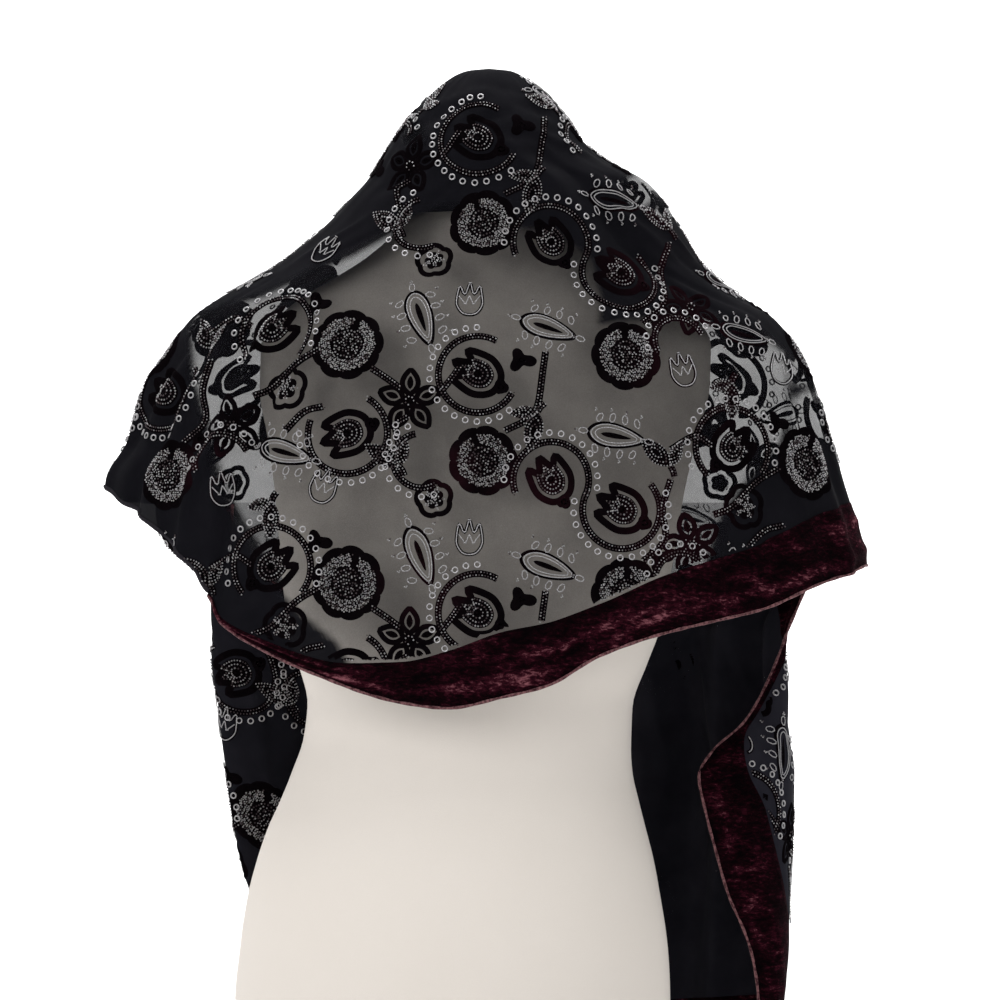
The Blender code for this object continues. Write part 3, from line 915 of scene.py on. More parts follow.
def fall_section(rows, pleats, side, height):
    """The plan of a fall at a height, as points from its inner edge to its free edge."""
    heights = column(rows, 0)
    inner_x, inner_y, ridge_x, ridge_y, turn_y, free_x, free_y = (
        smooth(heights, column(rows, index), height) for index in range(1, 8)
    )
    across = np.linspace(0, 1, SECTION_STEPS)
    angle = across * math.pi / 2
    x = inner_x + (ridge_x - inner_x) * np.sin(angle)
    y = ridge_y + (inner_y - ridge_y) * np.cos(angle)
    wave = np.zeros_like(across)
    length = abs(ridge_x - inner_x) + abs(ridge_y - inner_y)
    for place, depth, width in pleats:
        wave += depth * np.exp(-((across - place) * length / width) ** 2)
    wave *= ease(across / 0.05 + 0.2) * ease((1 - across) / 0.12)
    x = x + side * wave * np.sin(angle)
    y = y + wave * np.cos(angle)
    hang = ease((FALL_TOP - height) / FALL_BLEND)
    cape_angle = side * (FALL_EDGE_ANGLE + (FALL_OUTER_ANGLE - FALL_EDGE_ANGLE) * across)
    cape = cape_point(cape_angle, np.full_like(across, height))
    x = cape[:, 0] + (x - cape[:, 0]) * hang
    y = cape[:, 1] + (y - cape[:, 1]) * hang
    along = np.linspace(0, 1, SECTION_STEPS)[1:]
    middle = 2 * along * (1 - along)
    end = along ** 2
    flap_x = x[-1] + end * (free_x - ridge_x)
    flap_y = y[-1] + middle * (turn_y - ridge_y) + end * (free_y - ridge_y)
    return np.column_stack((np.concatenate((x, flap_x)), np.concatenate((y, flap_y))))


# Meshes

def mesh_piece(name, points, faces, finish, flat=False):
    """An object from arrays: points in mm, and faces that all have as many corners."""
    points = np.asarray(points, dtype=np.float32).reshape(-1, 3) * MM
    faces = np.asarray(faces, dtype=np.int32)
    mesh = bpy.data.meshes.new(name)
    mesh.vertices.add(len(points))
    mesh.vertices.foreach_set("co", points.ravel())
    mesh.loops.add(faces.size)
    mesh.loops.foreach_set("vertex_index", faces.ravel())
    mesh.polygons.add(len(faces))
    mesh.polygons.foreach_set("loop_start", np.arange(0, faces.size, faces.shape[1], dtype=np.int32))
    mesh.update(calc_edges=True)
    mesh.materials.append(finish)
    if not flat:
        mesh.shade_smooth()
    piece = bpy.data.objects.new(name, mesh)
    bpy.context.scene.collection.objects.link(piece)
    return piece


def grid_faces(rows, columns, turned=False, closed=False):
    """The squares of a grid of points, row by row. A closed grid joins its last column to its first."""
    wide = columns if closed else columns - 1
    row, index = np.meshgrid(np.arange(rows - 1), np.arange(wide), indexing="ij")
    corner = row * columns + index
    beside = row * columns + (index + 1) % columns
    faces = np.stack((corner, corner + columns, beside + columns, beside), axis=-1).reshape(-1, 4)
    return faces[:, ::-1] if turned else faces


def mark(piece, name, values):
    """Keeps one number for each point of a piece, for its finish to read."""
    attribute = piece.data.attributes.new(name, "FLOAT", "POINT")
    attribute.data.foreach_set("value", np.asarray(values, dtype=np.float32).ravel())


def tube(name, line, radius, finish, sides=8):
    """A rolled edge: a thin round tube along a line of points."""
    line = np.asarray(line, dtype=float)
    run = np.gradient(line, axis=0)
    run /= np.linalg.norm(run, axis=1)[:, None]
    guide = np.tile((0.0, 0.0, 1.0), (len(line), 1))
    guide = np.where(np.abs(run[:, 2:3]) > 0.9, (0.0, 1.0, 0.0), guide)
    side = np.cross(run, guide)
    side /= np.linalg.norm(side, axis=1)[:, None]
    up = np.cross(side, run)
    turn = np.linspace(0, 2 * math.pi, sides, endpoint=False)
    wide = np.resize(radius, len(line))[:, None, None] if np.ndim(radius) else radius
    ring = side[:, None, :] * np.cos(turn)[None, :, None] + up[:, None, :] * np.sin(turn)[None, :, None]
    points = line[:, None, :] + ring * wide
    return mesh_piece(name, points, grid_faces(len(line), sides, closed=True), finish)


# Beads and velvet motifs

class Pattern:
    """What is sewn on or woven into one stretch of cloth, gathered as arrays."""

    def __init__(self, surface, seed):
        self.surface = surface
        self.chance = np.random.default_rng(seed)
        self.velvet_points = []
        self.velvet_faces = []
        self.velvet_count = 0
        self.beads = {"silver": [], "dark": []}
        self.ring_beads = []
        self.bugles = []

    def velvet(self, places, lifts, faces):
        """Adds pile with these places, lifted off the cloth, where it lies clear of the borders."""
        kept = self.surface.inside(places)
        faces = faces[kept[faces].all(axis=1)]
        if not len(faces):
            return
        self.velvet_points.append(self.surface.at(places, lifts))
        self.velvet_faces.append(faces + self.velvet_count)
        self.velvet_count += len(places)

    def band(self, lay, line, width, closed=False, pile=PILE):
        """A ribbon of velvet along a line."""
        points, run = evenly(line, 2.0, closed)
        side = np.column_stack((-run[:, 1], run[:, 0])) * width / 2
        flat = np.stack((points - side, points, points + side), axis=1).reshape(-1, 2)
        lifts = np.tile((0.12, pile, 0.12), len(points))
        squares = grid_faces(len(points), 3)
        if closed:
            last = (len(points) - 1) * 3
            joins = np.array([(last + index, index, index + 1, last + index + 1) for index in (0, 1)])
            squares = np.vstack((squares, joins))
        faces = np.vstack((squares[:, (0, 1, 2)], squares[:, (0, 2, 3)]))
        self.velvet(lay(flat), lifts, faces)

    def patch(self, lay, outline, pile=PILE):
        """A filled patch of velvet inside an outline."""
        points = evenly(outline, 2.2, closed=True)[0]
        middle = points.mean(axis=0)
        steps = WIDE_STEPS if len(points) > WIDE_PATCH else PATCH_STEPS
        rings = [middle + (points - middle) * share for share, rise in steps]
        flat = np.vstack(rings + [middle[None]])
        count = len(points)
        lifts = np.concatenate([np.full(count, rise * pile) for share, rise in steps] + [[1.15 * pile]])
        squares = grid_faces(len(steps), count, closed=True)
        faces = [squares[:, (0, 1, 2)], squares[:, (0, 2, 3)]]
        inner = np.arange(count) + (len(steps) - 1) * count
        fan = np.column_stack((inner, np.full(count, len(steps) * count), np.roll(inner, -1)))
        self.velvet(lay(flat), lifts, np.vstack(faces + [fan[:, ::-1]]))

    def seeds(self, lay, spots, radius, share_dark=0.35, lift=1.0):
        """Seed beads at flat spots, some silver and the rest dark."""
        spots = np.atleast_2d(spots)
        if not len(spots):
            return
        places = lay(spots)
        places = places[self.surface.inside(places)]
        if not len(places):
            return
        points = self.surface.at(places, lift)
        normals = self.surface.normal(places)
        sizes = radius * self.chance.uniform(0.85, 1.12, len(points))
        dark = self.chance.random(len(points)) < share_dark
        for name, chosen in (("silver", ~dark), ("dark", dark)):
            self.beads[name].append(np.column_stack((points[chosen], normals[chosen], sizes[chosen])))

    def row(self, lay, line, step=SEED_STEP, closed=False, **bead):
        """A row of seed beads along a line."""
        bead.setdefault("radius", SEED_RADIUS)
        self.seeds(lay, evenly(line, step, closed)[0], **bead)

    def rings(self, lay, line, step=RING_STEP):
        """Ring beads along a line."""
        places = lay(evenly(line, step)[0])
        places = places[self.surface.inside(places)]
        if len(places):
            points = self.surface.at(places, BEAD_LIFT)
            self.ring_beads.append(np.column_stack((points, self.surface.normal(places))))

    def bright_line(self, lay, line, closed=False):
        """A line of silver bugle beads, laid end to end."""
        points, run = evenly(line, BUGLE_LENGTH, closed)
        ends = np.vstack((points - run * BUGLE_LENGTH / 2, points + run * BUGLE_LENGTH / 2))
        places = lay(ends)
        half = len(points)
        kept = self.surface.inside(places[:half]) & self.surface.inside(places[half:])
        if kept.any():
            first = self.surface.at(places[:half][kept], BEAD_LIFT)
            second = self.surface.at(places[half:][kept], BEAD_LIFT)
            normals = self.surface.normal(places[:half][kept])
            self.bugles.append(np.column_stack((first, second, normals)))

    def vine(self, lay, line):
        """A dark velvet stem with two rows of seed beads on it."""
        self.band(lay, line, VINE_WIDTH, pile=0.45)
        points, run = evenly(line, SEED_STEP)
        side = np.column_stack((-run[:, 1], run[:, 0])) * VINE_ROWS
        self.seeds(lay, points + side, VINE_SEED_RADIUS, share_dark=0.5, lift=BEAD_LIFT)
        offset = points - side + run * SEED_STEP / 2
        self.seeds(lay, offset, VINE_SEED_RADIUS, share_dark=0.65, lift=BEAD_LIFT)

    def scroll(self, lay, radius, start, end, ring_start, ring_end):
        """A round vine with ring beads along its outside."""
        self.vine(lay, arc(radius, start, end))
        self.rings(lay, arc(radius + RING_AWAY, ring_start, ring_end))


def arc(radius, start, end, middle=(0, 0)):
    turn = np.radians(np.linspace(start, end, 48))
    return np.column_stack((middle[0] + radius * np.cos(turn), middle[1] + radius * np.sin(turn)))


def lobed(radius, lobes, depth, power=0.7, turn=0.0):
    """A round outline with scallops."""
    angle = np.linspace(0, 2 * math.pi, 72, endpoint=False)
    bulge = np.abs(np.sin(angle * lobes / 2 + turn)) ** power
    reach = radius * (1 - depth + depth * bulge)
    return np.column_stack((reach * np.cos(angle), reach * np.sin(angle)))


def leaf_line(length, width):
    """The outline of a pointed leaf that grows up from its stem."""
    along = np.linspace(0, 1, 15)
    half = width / 2 * np.sin(math.pi * along ** 0.85) ** 0.85
    right = np.column_stack((half, along * length))
    left = np.column_stack((-half, along * length))[::-1]
    return np.vstack((right, left[1:-1]))


def turned(points, angle, middle=(0, 0)):
    points = np.atleast_2d(points)
    cosine, sine = math.cos(math.radians(angle)), math.sin(math.radians(angle))
    x = points[:, 0] * cosine - points[:, 1] * sine + middle[0]
    y = points[:, 0] * sine + points[:, 1] * cosine + middle[1]
    return np.column_stack((x, y))


def scattered(chance, step, reach, test):
    """Spots in a loose net over a square, where a test holds."""
    count = int(reach / step) + 1
    across, up = np.meshgrid(np.arange(-count, count + 1), np.arange(-count, count + 1))
    spots = np.column_stack(((across + (up % 2) * 0.5).ravel() * step, up.ravel() * step * 0.87))
    spots = spots + chance.uniform(-0.28, 0.28, spots.shape) * step
    return spots[test(spots)]


def bud_line(size, crown=0.52):
    """The outline of a tulip bud with three points, which opens upward."""
    corners = ((0, -0.46), (-0.22, -0.40), (-0.38, -0.16), (-0.39, 0.10), (-0.31, crown - 0.12))
    points = ((-0.17, 0.22), (-0.09, 0.32), (0, crown), (0.09, 0.32), (0.17, 0.22))
    mirrored = tuple((-x, y) for x, y in reversed(corners[1:]))
    return rounded(np.array(corners + points + mirrored) * size, closed=True, steps=4)


def draw_rosette(pattern, lay, size):
    radius = size / 2
    pattern.patch(lay, lobed(radius - 1.0, 9, 0.09), pile=0.2)
    pattern.band(lay, lobed(radius - 2.4, 9, 0.09), 6.6, closed=True, pile=0.9)
    pattern.band(lay, lobed(radius * 0.4, 5, 0.16, turn=0.6), 3.6, closed=True)
    pattern.patch(lay, lobed(radius * 0.2, 3, 0.2))

    def chips(spots):
        away = np.hypot(spots[:, 0], spots[:, 1])
        notch = (np.abs(spots[:, 0]) < 2.4) & (spots[:, 1] > 0)
        return (away < radius - 5.6) & (away > radius * 0.46) & ~notch

    def heart(spots):
        return np.hypot(spots[:, 0], spots[:, 1]) < radius * 0.32

    rim_spots = scattered(pattern.chance, CHIP_STEP, radius, chips)
    pattern.seeds(lay, rim_spots, CHIP_RADIUS, share_dark=0.22, lift=0.7)
    heart_spots = scattered(pattern.chance, 2.4, radius, heart)
    pattern.seeds(lay, heart_spots, CHIP_RADIUS, share_dark=0.4, lift=1.3)
    pattern.row(lay, lobed(radius * 0.4, 5, 0.16, turn=0.6), step=2.6, closed=True, share_dark=0.5)


def draw_bud(pattern, lay, size):
    outline = bud_line(size)
    pattern.band(lay, outline, size * 0.14, closed=True, pile=0.9)
    inner = bud_line(size * 0.70, crown=0.48)
    pattern.patch(lay, inner)
    for share, step in ((0.88, 2.1), (0.62, 2.3), (0.34, 2.5)):
        pattern.row(lay, inner * share, step=step, closed=True, share_dark=0.4, lift=1.3)
    cup = lobed(size * 0.16, 3, 0.25, turn=0.5) + (0, -size * 0.52)
    pattern.patch(lay, cup, pile=0.9)


def draw_marquise(pattern, lay, size):
    long_half, short_half = size / 2, size * 0.19
    angle = np.linspace(0, 2 * math.pi, 40, endpoint=False)
    half = short_half * (1 + 0.34 * np.cos(angle)) * np.abs(np.sin(angle)) ** 0.15
    pod = np.column_stack((half * np.sin(angle), long_half * np.cos(angle)))
    pattern.band(lay, pod * 1.12, 2.4, closed=True, pile=0.45)
    pattern.bright_line(lay, pod, closed=True)
    pattern.bright_line(lay, pod * (0.72, 0.84), closed=True)
    pattern.patch(lay, pod * (0.26, 0.62), pile=0.3)
    for side in (-1, 1):
        for index in range(4):
            up = (index - 1.5) * size * 0.25
            lean = side * (90 - (index - 1.5) * 16)
            middle = (side * (short_half + 6.2 - abs(index - 1.5) * 1.2), up)
            draw_drop(pattern, lay, middle, lean, size * 0.17)
    for end in (-1, 1):
        draw_drop(pattern, lay, (0, end * (long_half + 6.0)), 0, size * 0.17)


def draw_drop(pattern, lay, middle, lean, size):
    """A small silver oval with a knot of three seed beads beyond it."""
    angle = np.linspace(0, 2 * math.pi, 14, endpoint=False)
    oval = np.column_stack((size * 0.3 * np.cos(angle), size * 0.5 * np.sin(angle)))
    pattern.bright_line(lay, turned(oval, lean, middle), closed=True)
    if middle[0]:
        tip = (middle[0] + np.sign(middle[0]) * size * 0.85, middle[1] * 1.22)
        knot = np.array((tip, (tip[0] + 0.9, tip[1] + 0.8), (tip[0] - 0.9, tip[1] + 0.9)))
    else:
        knot = turned(((0, size * 0.95), (-0.8, size * 0.75), (0.8, size * 0.75)), lean, middle)
    pattern.seeds(lay, knot, SEED_RADIUS * 0.95, share_dark=0.2)


def draw_leaf(pattern, lay, length, lean, middle=(0, 0)):
    outline = leaf_line(length, length * 0.46)
    pattern.patch(lay, turned(outline, lean, middle), pile=0.6)
    centre = np.array((0, length / 2))
    for share, dark in ((0.95, 0.2), (0.68, 0.35), (0.36, 0.5)):
        ring = (outline - centre) * share + centre
        pattern.row(lay, turned(ring, lean, middle), step=2.3, closed=True, share_dark=dark, lift=1.1)


def draw_leaf_pair(pattern, lay, size):
    draw_leaf(pattern, lay, size * 0.95, 28)
    draw_leaf(pattern, lay, size * 0.66, -46)
    pattern.vine(lay, np.array(((0, -size * 0.26), (0.6, -size * 0.12), (0, 0))))


def draw_butterfly(pattern, lay, size):
    angle = np.linspace(0, 2 * math.pi, 48, endpoint=False)
    reach = size * (0.36 + 0.13 * np.cos(3 * angle + 0.4) + 0.05 * np.cos(2 * angle))
    pattern.patch(lay, np.column_stack((reach * np.cos(angle), reach * np.sin(angle))), pile=1.0)


def draw_lotus(pattern, lay, size):
    outline = bud_line(size, crown=0.6)
    pattern.band(lay, outline, 2.6, closed=True, pile=0.4)
    pattern.bright_line(lay, outline, closed=True)
    zigzag = np.array(((-0.3, 0.12), (-0.12, -0.12), (0, 0.16), (0.12, -0.12), (0.3, 0.12))) * size
    pattern.bright_line(lay, zigzag)


def draw_star(pattern, lay, size):
    radius = size / 2
    pattern.band(lay, lobed(radius, 5, 0.16, turn=0.3), 4.0, closed=True)

    def star(spots):
        angle = np.arctan2(spots[:, 1], spots[:, 0])
        reach = radius * (0.42 + 0.24 * np.cos(5 * angle))
        return np.hypot(spots[:, 0], spots[:, 1]) < reach

    pattern.patch(lay, lobed(radius * 0.6, 5, 0.3), pile=0.4)
    pattern.seeds(lay, scattered(pattern.chance, 1.9, radius, star), CHIP_RADIUS, share_dark=0.15, lift=1.0)


def draw_flower(pattern, lay, size):
    for index in range(5):
        lean = index * 72
        petal = leaf_line(size * 0.42, size * 0.27) + (0, size * 0.12)
        pattern.band(lay, turned(petal, lean), 4.0, closed=True, pile=0.9)
        inner = leaf_line(size * 0.24, size * 0.11) + (0, size * 0.2)
        pattern.patch(lay, turned(inner, lean), pile=0.5)
    pattern.patch(lay, lobed(size * 0.13, 5, 0.2), pile=1.0)
    pattern.seeds(lay, arc(size * 0.07, 0, 300)[::8], SEED_RADIUS, share_dark=0.3, lift=1.4)


DRAWERS = {
    "rosette": draw_rosette,
    "bud": draw_bud,
    "marquise": draw_marquise,
    "leaf_pair": draw_leaf_pair,
    "butterfly": draw_butterfly,
    "lotus": draw_lotus,
    "star": draw_star,
    "flower": draw_flower,
}


def laid_from(surface, place, turn):
    """A way to lay flat drawings on a surface round one place."""
    return lambda flat: surface.walk(place, flat, turn)


def back_repeats():
    """The left foot of each repeat of the back, to the right and up in its own view."""
    for column in range(BACK_COLUMNS):
        foot = BACK_FOOT - REPEAT_HEIGHT / 2 * column
        while foot < BACK_TOP:
            yield np.array((BACK_LEFT + REPEAT_WIDTH * column, foot))
            foot += REPEAT_HEIGHT


def on_back(surface, spots):
    """Whether all these spots of the back view lie on the back, clear of the sides."""
    places = surface.seen(spots)
    angle = plain_angle(places[:, 0] * CAPE_DEGREES - CAPE_REACH)
    return bool((np.abs(angle) < BACK_ANGLE).all())


def cape_pattern(surface):
    """Motifs of the cape: repeats on the back, and a layout of their own on the sides and front."""
    pattern = Pattern(surface, seed=7)
    for corner in back_repeats():
        for stem in REPEAT_STEMS:
            line = rounded(stem) + corner
            if on_back(surface, line):
                pattern.vine(surface.seen, line)
        for x, y, radius, *angles in REPEAT_SCROLLS:
            if on_back(surface, corner + (x, y)):
                place = surface.seen(corner + (x, y))[0]
                pattern.scroll(laid_from(surface, place, 0), radius, *angles)
        for kind, x, y, turn, size in REPEAT_MOTIFS:
            if on_back(surface, corner + (x, y)):
                place = surface.seen(corner + (x, y))[0]
                DRAWERS[kind](pattern, laid_from(surface, place, turn), size)
    for side in (1, -1):
        for angle, height, radius, *angles in SIDE_SCROLLS:
            place = surface.place(side * angle, height)
            pattern.scroll(laid_from(surface, place, 0), radius, *angles)
        for kind, angle, height, turn, size in SIDE_MOTIFS:
            place = surface.place(side * angle, height)
            DRAWERS[kind](pattern, laid_from(surface, place, side * turn), size)
    return pattern


def fall_pattern(surface, seed, start):
    """Motifs of a fall, in repeats from its top down."""
    pattern = Pattern(surface, seed)
    for index in range(3):
        foot = start - REPEAT_HEIGHT * (index + 1)

        def chart(spots, foot=foot):
            spots = np.atleast_2d(spots)
            return surface.place(BORDER_WIDTH + spots[:, 0], foot + spots[:, 1])

        for stem in REPEAT_STEMS:
            pattern.vine(chart, rounded(stem))
        for x, y, radius, *angles in REPEAT_SCROLLS:
            pattern.scroll(lambda flat, x=x, y=y: chart(flat + (x, y)), radius, *angles)
        for kind, x, y, turn, size in REPEAT_MOTIFS:
            lay = lambda flat, x=x, y=y, turn=turn: chart(turned(flat, turn, (x, y)))
            DRAWERS[kind](pattern, lay, size)
    return pattern


# Beads as meshes

def bead_points(spots, normals, chance):
    """Two directions across each bead, turned by chance so that the beads catch the light."""
    guide = np.where(np.abs(normals[:, 2:3]) > 0.8, (1.0, 0.0, 0.0), (0.0, 0.0, 1.0))
    first = np.cross(normals, guide)
    first /= np.linalg.norm(first, axis=1)[:, None]
    second = np.cross(normals, first)
    angle = chance.uniform(0, 2 * math.pi, len(spots))[:, None]
    return first * np.cos(angle) + second * np.sin(angle), second * np.cos(angle) - first * np.sin(angle)


OCTAHEDRON = np.array((
    (0, 2, 4), (2, 1, 4), (1, 3, 4), (3, 0, 4),
    (2, 0, 5), (1, 2, 5), (3, 1, 5), (0, 3, 5),
))


def seed_piece(name, rows, finish, chance):
    rows = np.vstack(rows)
    spots, normals, sizes = rows[:, :3], rows[:, 3:6], rows[:, 6:7]
    first, second = bead_points(spots, normals, chance)
    tilt = normals + first * chance.uniform(-0.35, 0.35, (len(spots), 1))
    corners = (first, -first, second, -second, tilt * 0.85, -tilt * 0.85)
    points = np.stack([spots + corner * sizes for corner in corners], axis=1)
    faces = (np.arange(len(spots))[:, None, None] * 6 + OCTAHEDRON[None]).reshape(-1, 3)
    return mesh_piece(name, points, faces, finish, flat=True)


BUGLE_SIDES = np.array(((0, 1, 5, 4), (1, 2, 6, 5), (2, 3, 7, 6), (3, 0, 4, 7), (3, 2, 1, 0), (4, 5, 6, 7)))


def bugle_piece(name, rows, finish):
    rows = np.vstack(rows)
    first, second, normals = rows[:, :3], rows[:, 3:6], rows[:, 6:9]
    run = second - first
    length = np.maximum(np.linalg.norm(run, axis=1), 1e-6)[:, None]
    run = run / length
    side = np.cross(run, normals)
    middle = (first + second) / 2
    reach = np.minimum(length, BUGLE_LENGTH * 1.2) * 0.52
    edges = [turn * BUGLE_RADIUS for turn in (side, normals, -side, -normals)]
    corners = [middle + end * run * reach + edge for end in (1, -1) for edge in edges]
    points = np.stack(corners, axis=1)
    faces = (np.arange(len(rows))[:, None, None] * 8 + BUGLE_SIDES[None]).reshape(-1, 4)
    return mesh_piece(name, points, faces, finish)


def ring_piece(name, rows, finish, chance):
    """Ring beads: small rings that lie flat on the cloth."""
    rows = np.vstack(rows)
    spots, normals = rows[:, :3], rows[:, 3:6]
    first, second = bead_points(spots, normals, chance)
    sides, round_sides = 10, 4
    turn = np.linspace(0, 2 * math.pi, sides, endpoint=False)
    lean = np.linspace(0, 2 * math.pi, round_sides, endpoint=False) + math.pi / 4
    out = first[:, None] * np.cos(turn)[None, :, None] + second[:, None] * np.sin(turn)[None, :, None]
    reach = RING_RADIUS + RING_TUBE * np.cos(lean)
    rise = RING_TUBE * np.sin(lean)
    points = spots[:, None, None] + out[:, :, None] * reach[None, None, :, None]
    points = points + normals[:, None, None] * rise[None, None, :, None]
    index = np.arange(sides)[:, None]
    around = np.arange(round_sides)[None]
    corner = index * round_sides + around
    over = index * round_sides + (around + 1) % round_sides
    beyond = ((index + 1) % sides) * round_sides + around
    across = ((index + 1) % sides) * round_sides + (around + 1) % round_sides
    ring = np.stack((corner, over, across, beyond), axis=-1).reshape(-1, 4)
    faces = (np.arange(len(rows))[:, None, None] * sides * round_sides + ring[None]).reshape(-1, 4)
    return mesh_piece(name, points, faces, finish)


def pattern_pieces(name, pattern, finishes):
    """The velvet and the beads of one stretch of cloth."""
    chance = np.random.default_rng(11)
    points = np.vstack(pattern.velvet_points)
    faces = np.vstack(pattern.velvet_faces)
    velvet = mesh_piece(f"{name}_velvet_motifs", points, faces, finishes["velvet motifs"])
    # the velvet keeps its share of wine red painted sheen
    mark(velvet, "wine", painted_sheen_share(points))
    made = (
        velvet,
        seed_piece(f"{name}_silver_seed_beads", pattern.beads["silver"], finishes["silver"], chance),
        seed_piece(f"{name}_dark_seed_beads", pattern.beads["dark"], finishes["gunmetal"], chance),
        ring_piece(f"{name}_ring_beads", pattern.ring_beads, finishes["silver rings"], chance),
        bugle_piece(f"{name}_silver_lines", pattern.bugles, finishes["silver lines"]),
    )
    for piece in made:
        ready(piece, "beaded_chiffon")


def sheer_share(points):
    """How far each point lies inside the see-through part, from 0 (doubled) to 1 (single)."""
    x, z = points[:, 0], points[:, 2]
    corners = np.array(SHEER_OUTLINE, dtype=float)
    following = np.roll(corners, -1, axis=0)
    nearest = np.full(len(points), np.inf)
    crossings = np.zeros(len(points), dtype=int)
    for (x0, z0), (x1, z1) in zip(corners, following):
        run = np.array((x1 - x0, z1 - z0))
        along = np.clip(((x - x0) * run[0] + (z - z0) * run[1]) / run.dot(run), 0, 1)
        nearest = np.minimum(nearest, np.hypot(x - x0 - along * run[0], z - z0 - along * run[1]))
        if z0 != z1:
            passed = (z0 > z) != (z1 > z)
            crossings += passed & (x < x0 + (z - z0) * run[0] / run[1])
    inside = np.where(crossings % 2 == 1, nearest, -nearest)
    share = ease(inside / SHEER_EDGE + 0.5)
    for spot_x, spot_z, reach in SHEER_SPOTS:
        share = np.maximum(share, ease((reach - np.hypot(x - spot_x, z - spot_z)) / SHEER_EDGE + 0.5))
    return share


def painted_sheen_share(points):
    """How much of the wine red painted sheen the velvet takes at each point."""
    share = np.zeros(len(points))
    for x, z, reach in PAINTED_SHEEN_SPOTS:
        away = np.hypot(points[:, 0] - x, points[:, 2] - z)
        share = np.maximum(share, np.where(points[:, 1] < 60, ease(1.4 - away / reach), 0))
    return share


# Finishes

class Link:
    """A shader socket that takes part in sums. Each sum adds a Math node."""

    def __init__(self, finish, socket):
        self.finish = finish
        self.socket = socket

    def maths(self, operation, other=None, swapped=False, **settings):
        pair = (other, self) if swapped else (self, other)
        values = {index: value for index, value in enumerate(pair) if value is not None}
        return self.finish.node("ShaderNodeMath", {"operation": operation, **settings}, values)

    def __add__(self, other):
        return self.maths("ADD", other)

    def __sub__(self, other):
        return self.maths("SUBTRACT", other)

    def __rsub__(self, other):
        return self.maths("SUBTRACT", other, swapped=True)

    def __mul__(self, other):
        return self.maths("MULTIPLY", other)

    def clamped(self):
        return self.maths("ADD", 0.0, use_clamp=True)

    __radd__ = __add__
    __rmul__ = __mul__


class Finish:
    """A material being put together."""

    def __init__(self, name, roughness=0.5, metallic=0.0, specular=0.5,
                 sheen=0.0, sheen_tint=(1, 1, 1), sheen_roughness=0.5):
        self.material = bpy.data.materials.new(name)
        self.material.use_nodes = True
        self.tree = self.material.node_tree
        self.shader = self.tree.nodes["Principled BSDF"]
        self.set("Roughness", roughness)
        self.set("Metallic", metallic)
        self.set("Specular IOR Level", specular)
        self.set("Sheen Weight", sheen)
        self.set("Sheen Tint", (*sheen_tint, 1))
        self.set("Sheen Roughness", sheen_roughness)

    def set(self, name, value):
        socket = self.shader.inputs[name]
        if isinstance(value, Link):
            self.tree.links.new(value.socket, socket)
        elif hasattr(value, "__len__") and len(value) == 3:
            socket.default_value = (*value, 1)
        else:
            socket.default_value = value

    def node(self, kind, settings=None, values=None, output=0):
        """Adds a node: its settings first, then the values or links of its sockets."""
        made = self.tree.nodes.new(kind)
        for name, value in (settings or {}).items():
            if name == "stops":
                while len(made.color_ramp.elements) < len(value):
                    made.color_ramp.elements.new(0.5)
                for element, (place, colour) in zip(made.color_ramp.elements, value):
                    element.position = place
                    element.color = (*colour, 1)
            else:
                setattr(made, name, value)
        for name, value in (values or {}).items():
            socket = made.inputs[name]
            if isinstance(value, Link):
                self.tree.links.new(value.socket, socket)
            else:
                socket.default_value = value
        return Link(self, made.outputs[output])

    def place(self):
        return self.node("ShaderNodeTexCoord", output="Object")

    def noise(self, scale, detail=3.0, roughness=0.55, distortion=0.0, vector=None):
        values = {"Vector": vector or self.place(), "Scale": scale, "Detail": detail,
                  "Roughness": roughness, "Distortion": distortion}
        return self.node("ShaderNodeTexNoise", values=values)

    def attribute(self, name):
        return self.node("ShaderNodeAttribute", {"attribute_name": name}, output="Fac")

    def ramp(self, amount, *stops):
        return self.node("ShaderNodeValToRGB", {"stops": stops}, {"Fac": amount})

    def blend(self, amount, first, second):
        """A mix of two colours."""
        pair = [colour if isinstance(colour, Link) else (*colour, 1) for colour in (first, second)]
        values = {0: amount, 6: pair[0], 7: pair[1]}
        return self.node("ShaderNodeMix", {"data_type": "RGBA"}, values, output=2)

    def bump(self, height, distance, strength=1.0):
        values = {"Height": height, "Distance": distance, "Strength": strength}
        self.set("Normal", self.node("ShaderNodeBump", values=values))


def chiffon(name, alpha, dense_alpha, tone):
    """Sheer black crepe chiffon. The attribute "layers" says where more layers lie on each other. The tone
    raises its colour: on the falls it is painted light, a lighter copy of the same cloth for their shaded
    reverse.
    """
    deep = tuple(tone * part for part in (0.0018, 0.0018, 0.0028))
    pale = tuple(tone * part for part in (0.0055, 0.0053, 0.0070))
    finish = Finish(name, roughness=0.82, specular=0.03, sheen=0.006, sheen_roughness=0.5)
    # cloud: soft blotches of lighter and darker tone and thinner and denser cloth, painted light and shade
    # that stand in for the soft folds of the drape
    cloud = finish.noise(38, detail=3)
    crepe = finish.noise(950, detail=2)
    finish.set("Base Color", finish.blend(cloud, deep, pale))
    layers = finish.attribute("layers")
    # the cloud term thins and thickens the cloth in blotches, painted light and shade of the drape
    sheer = alpha + (crepe - 0.5) * 0.16 + (cloud - 0.5) * 0.24
    finish.set("Alpha", (sheer * (1 - layers) + layers * dense_alpha).clamped())
    finish.bump(crepe, 0.0003, 0.15)
    return finish.material


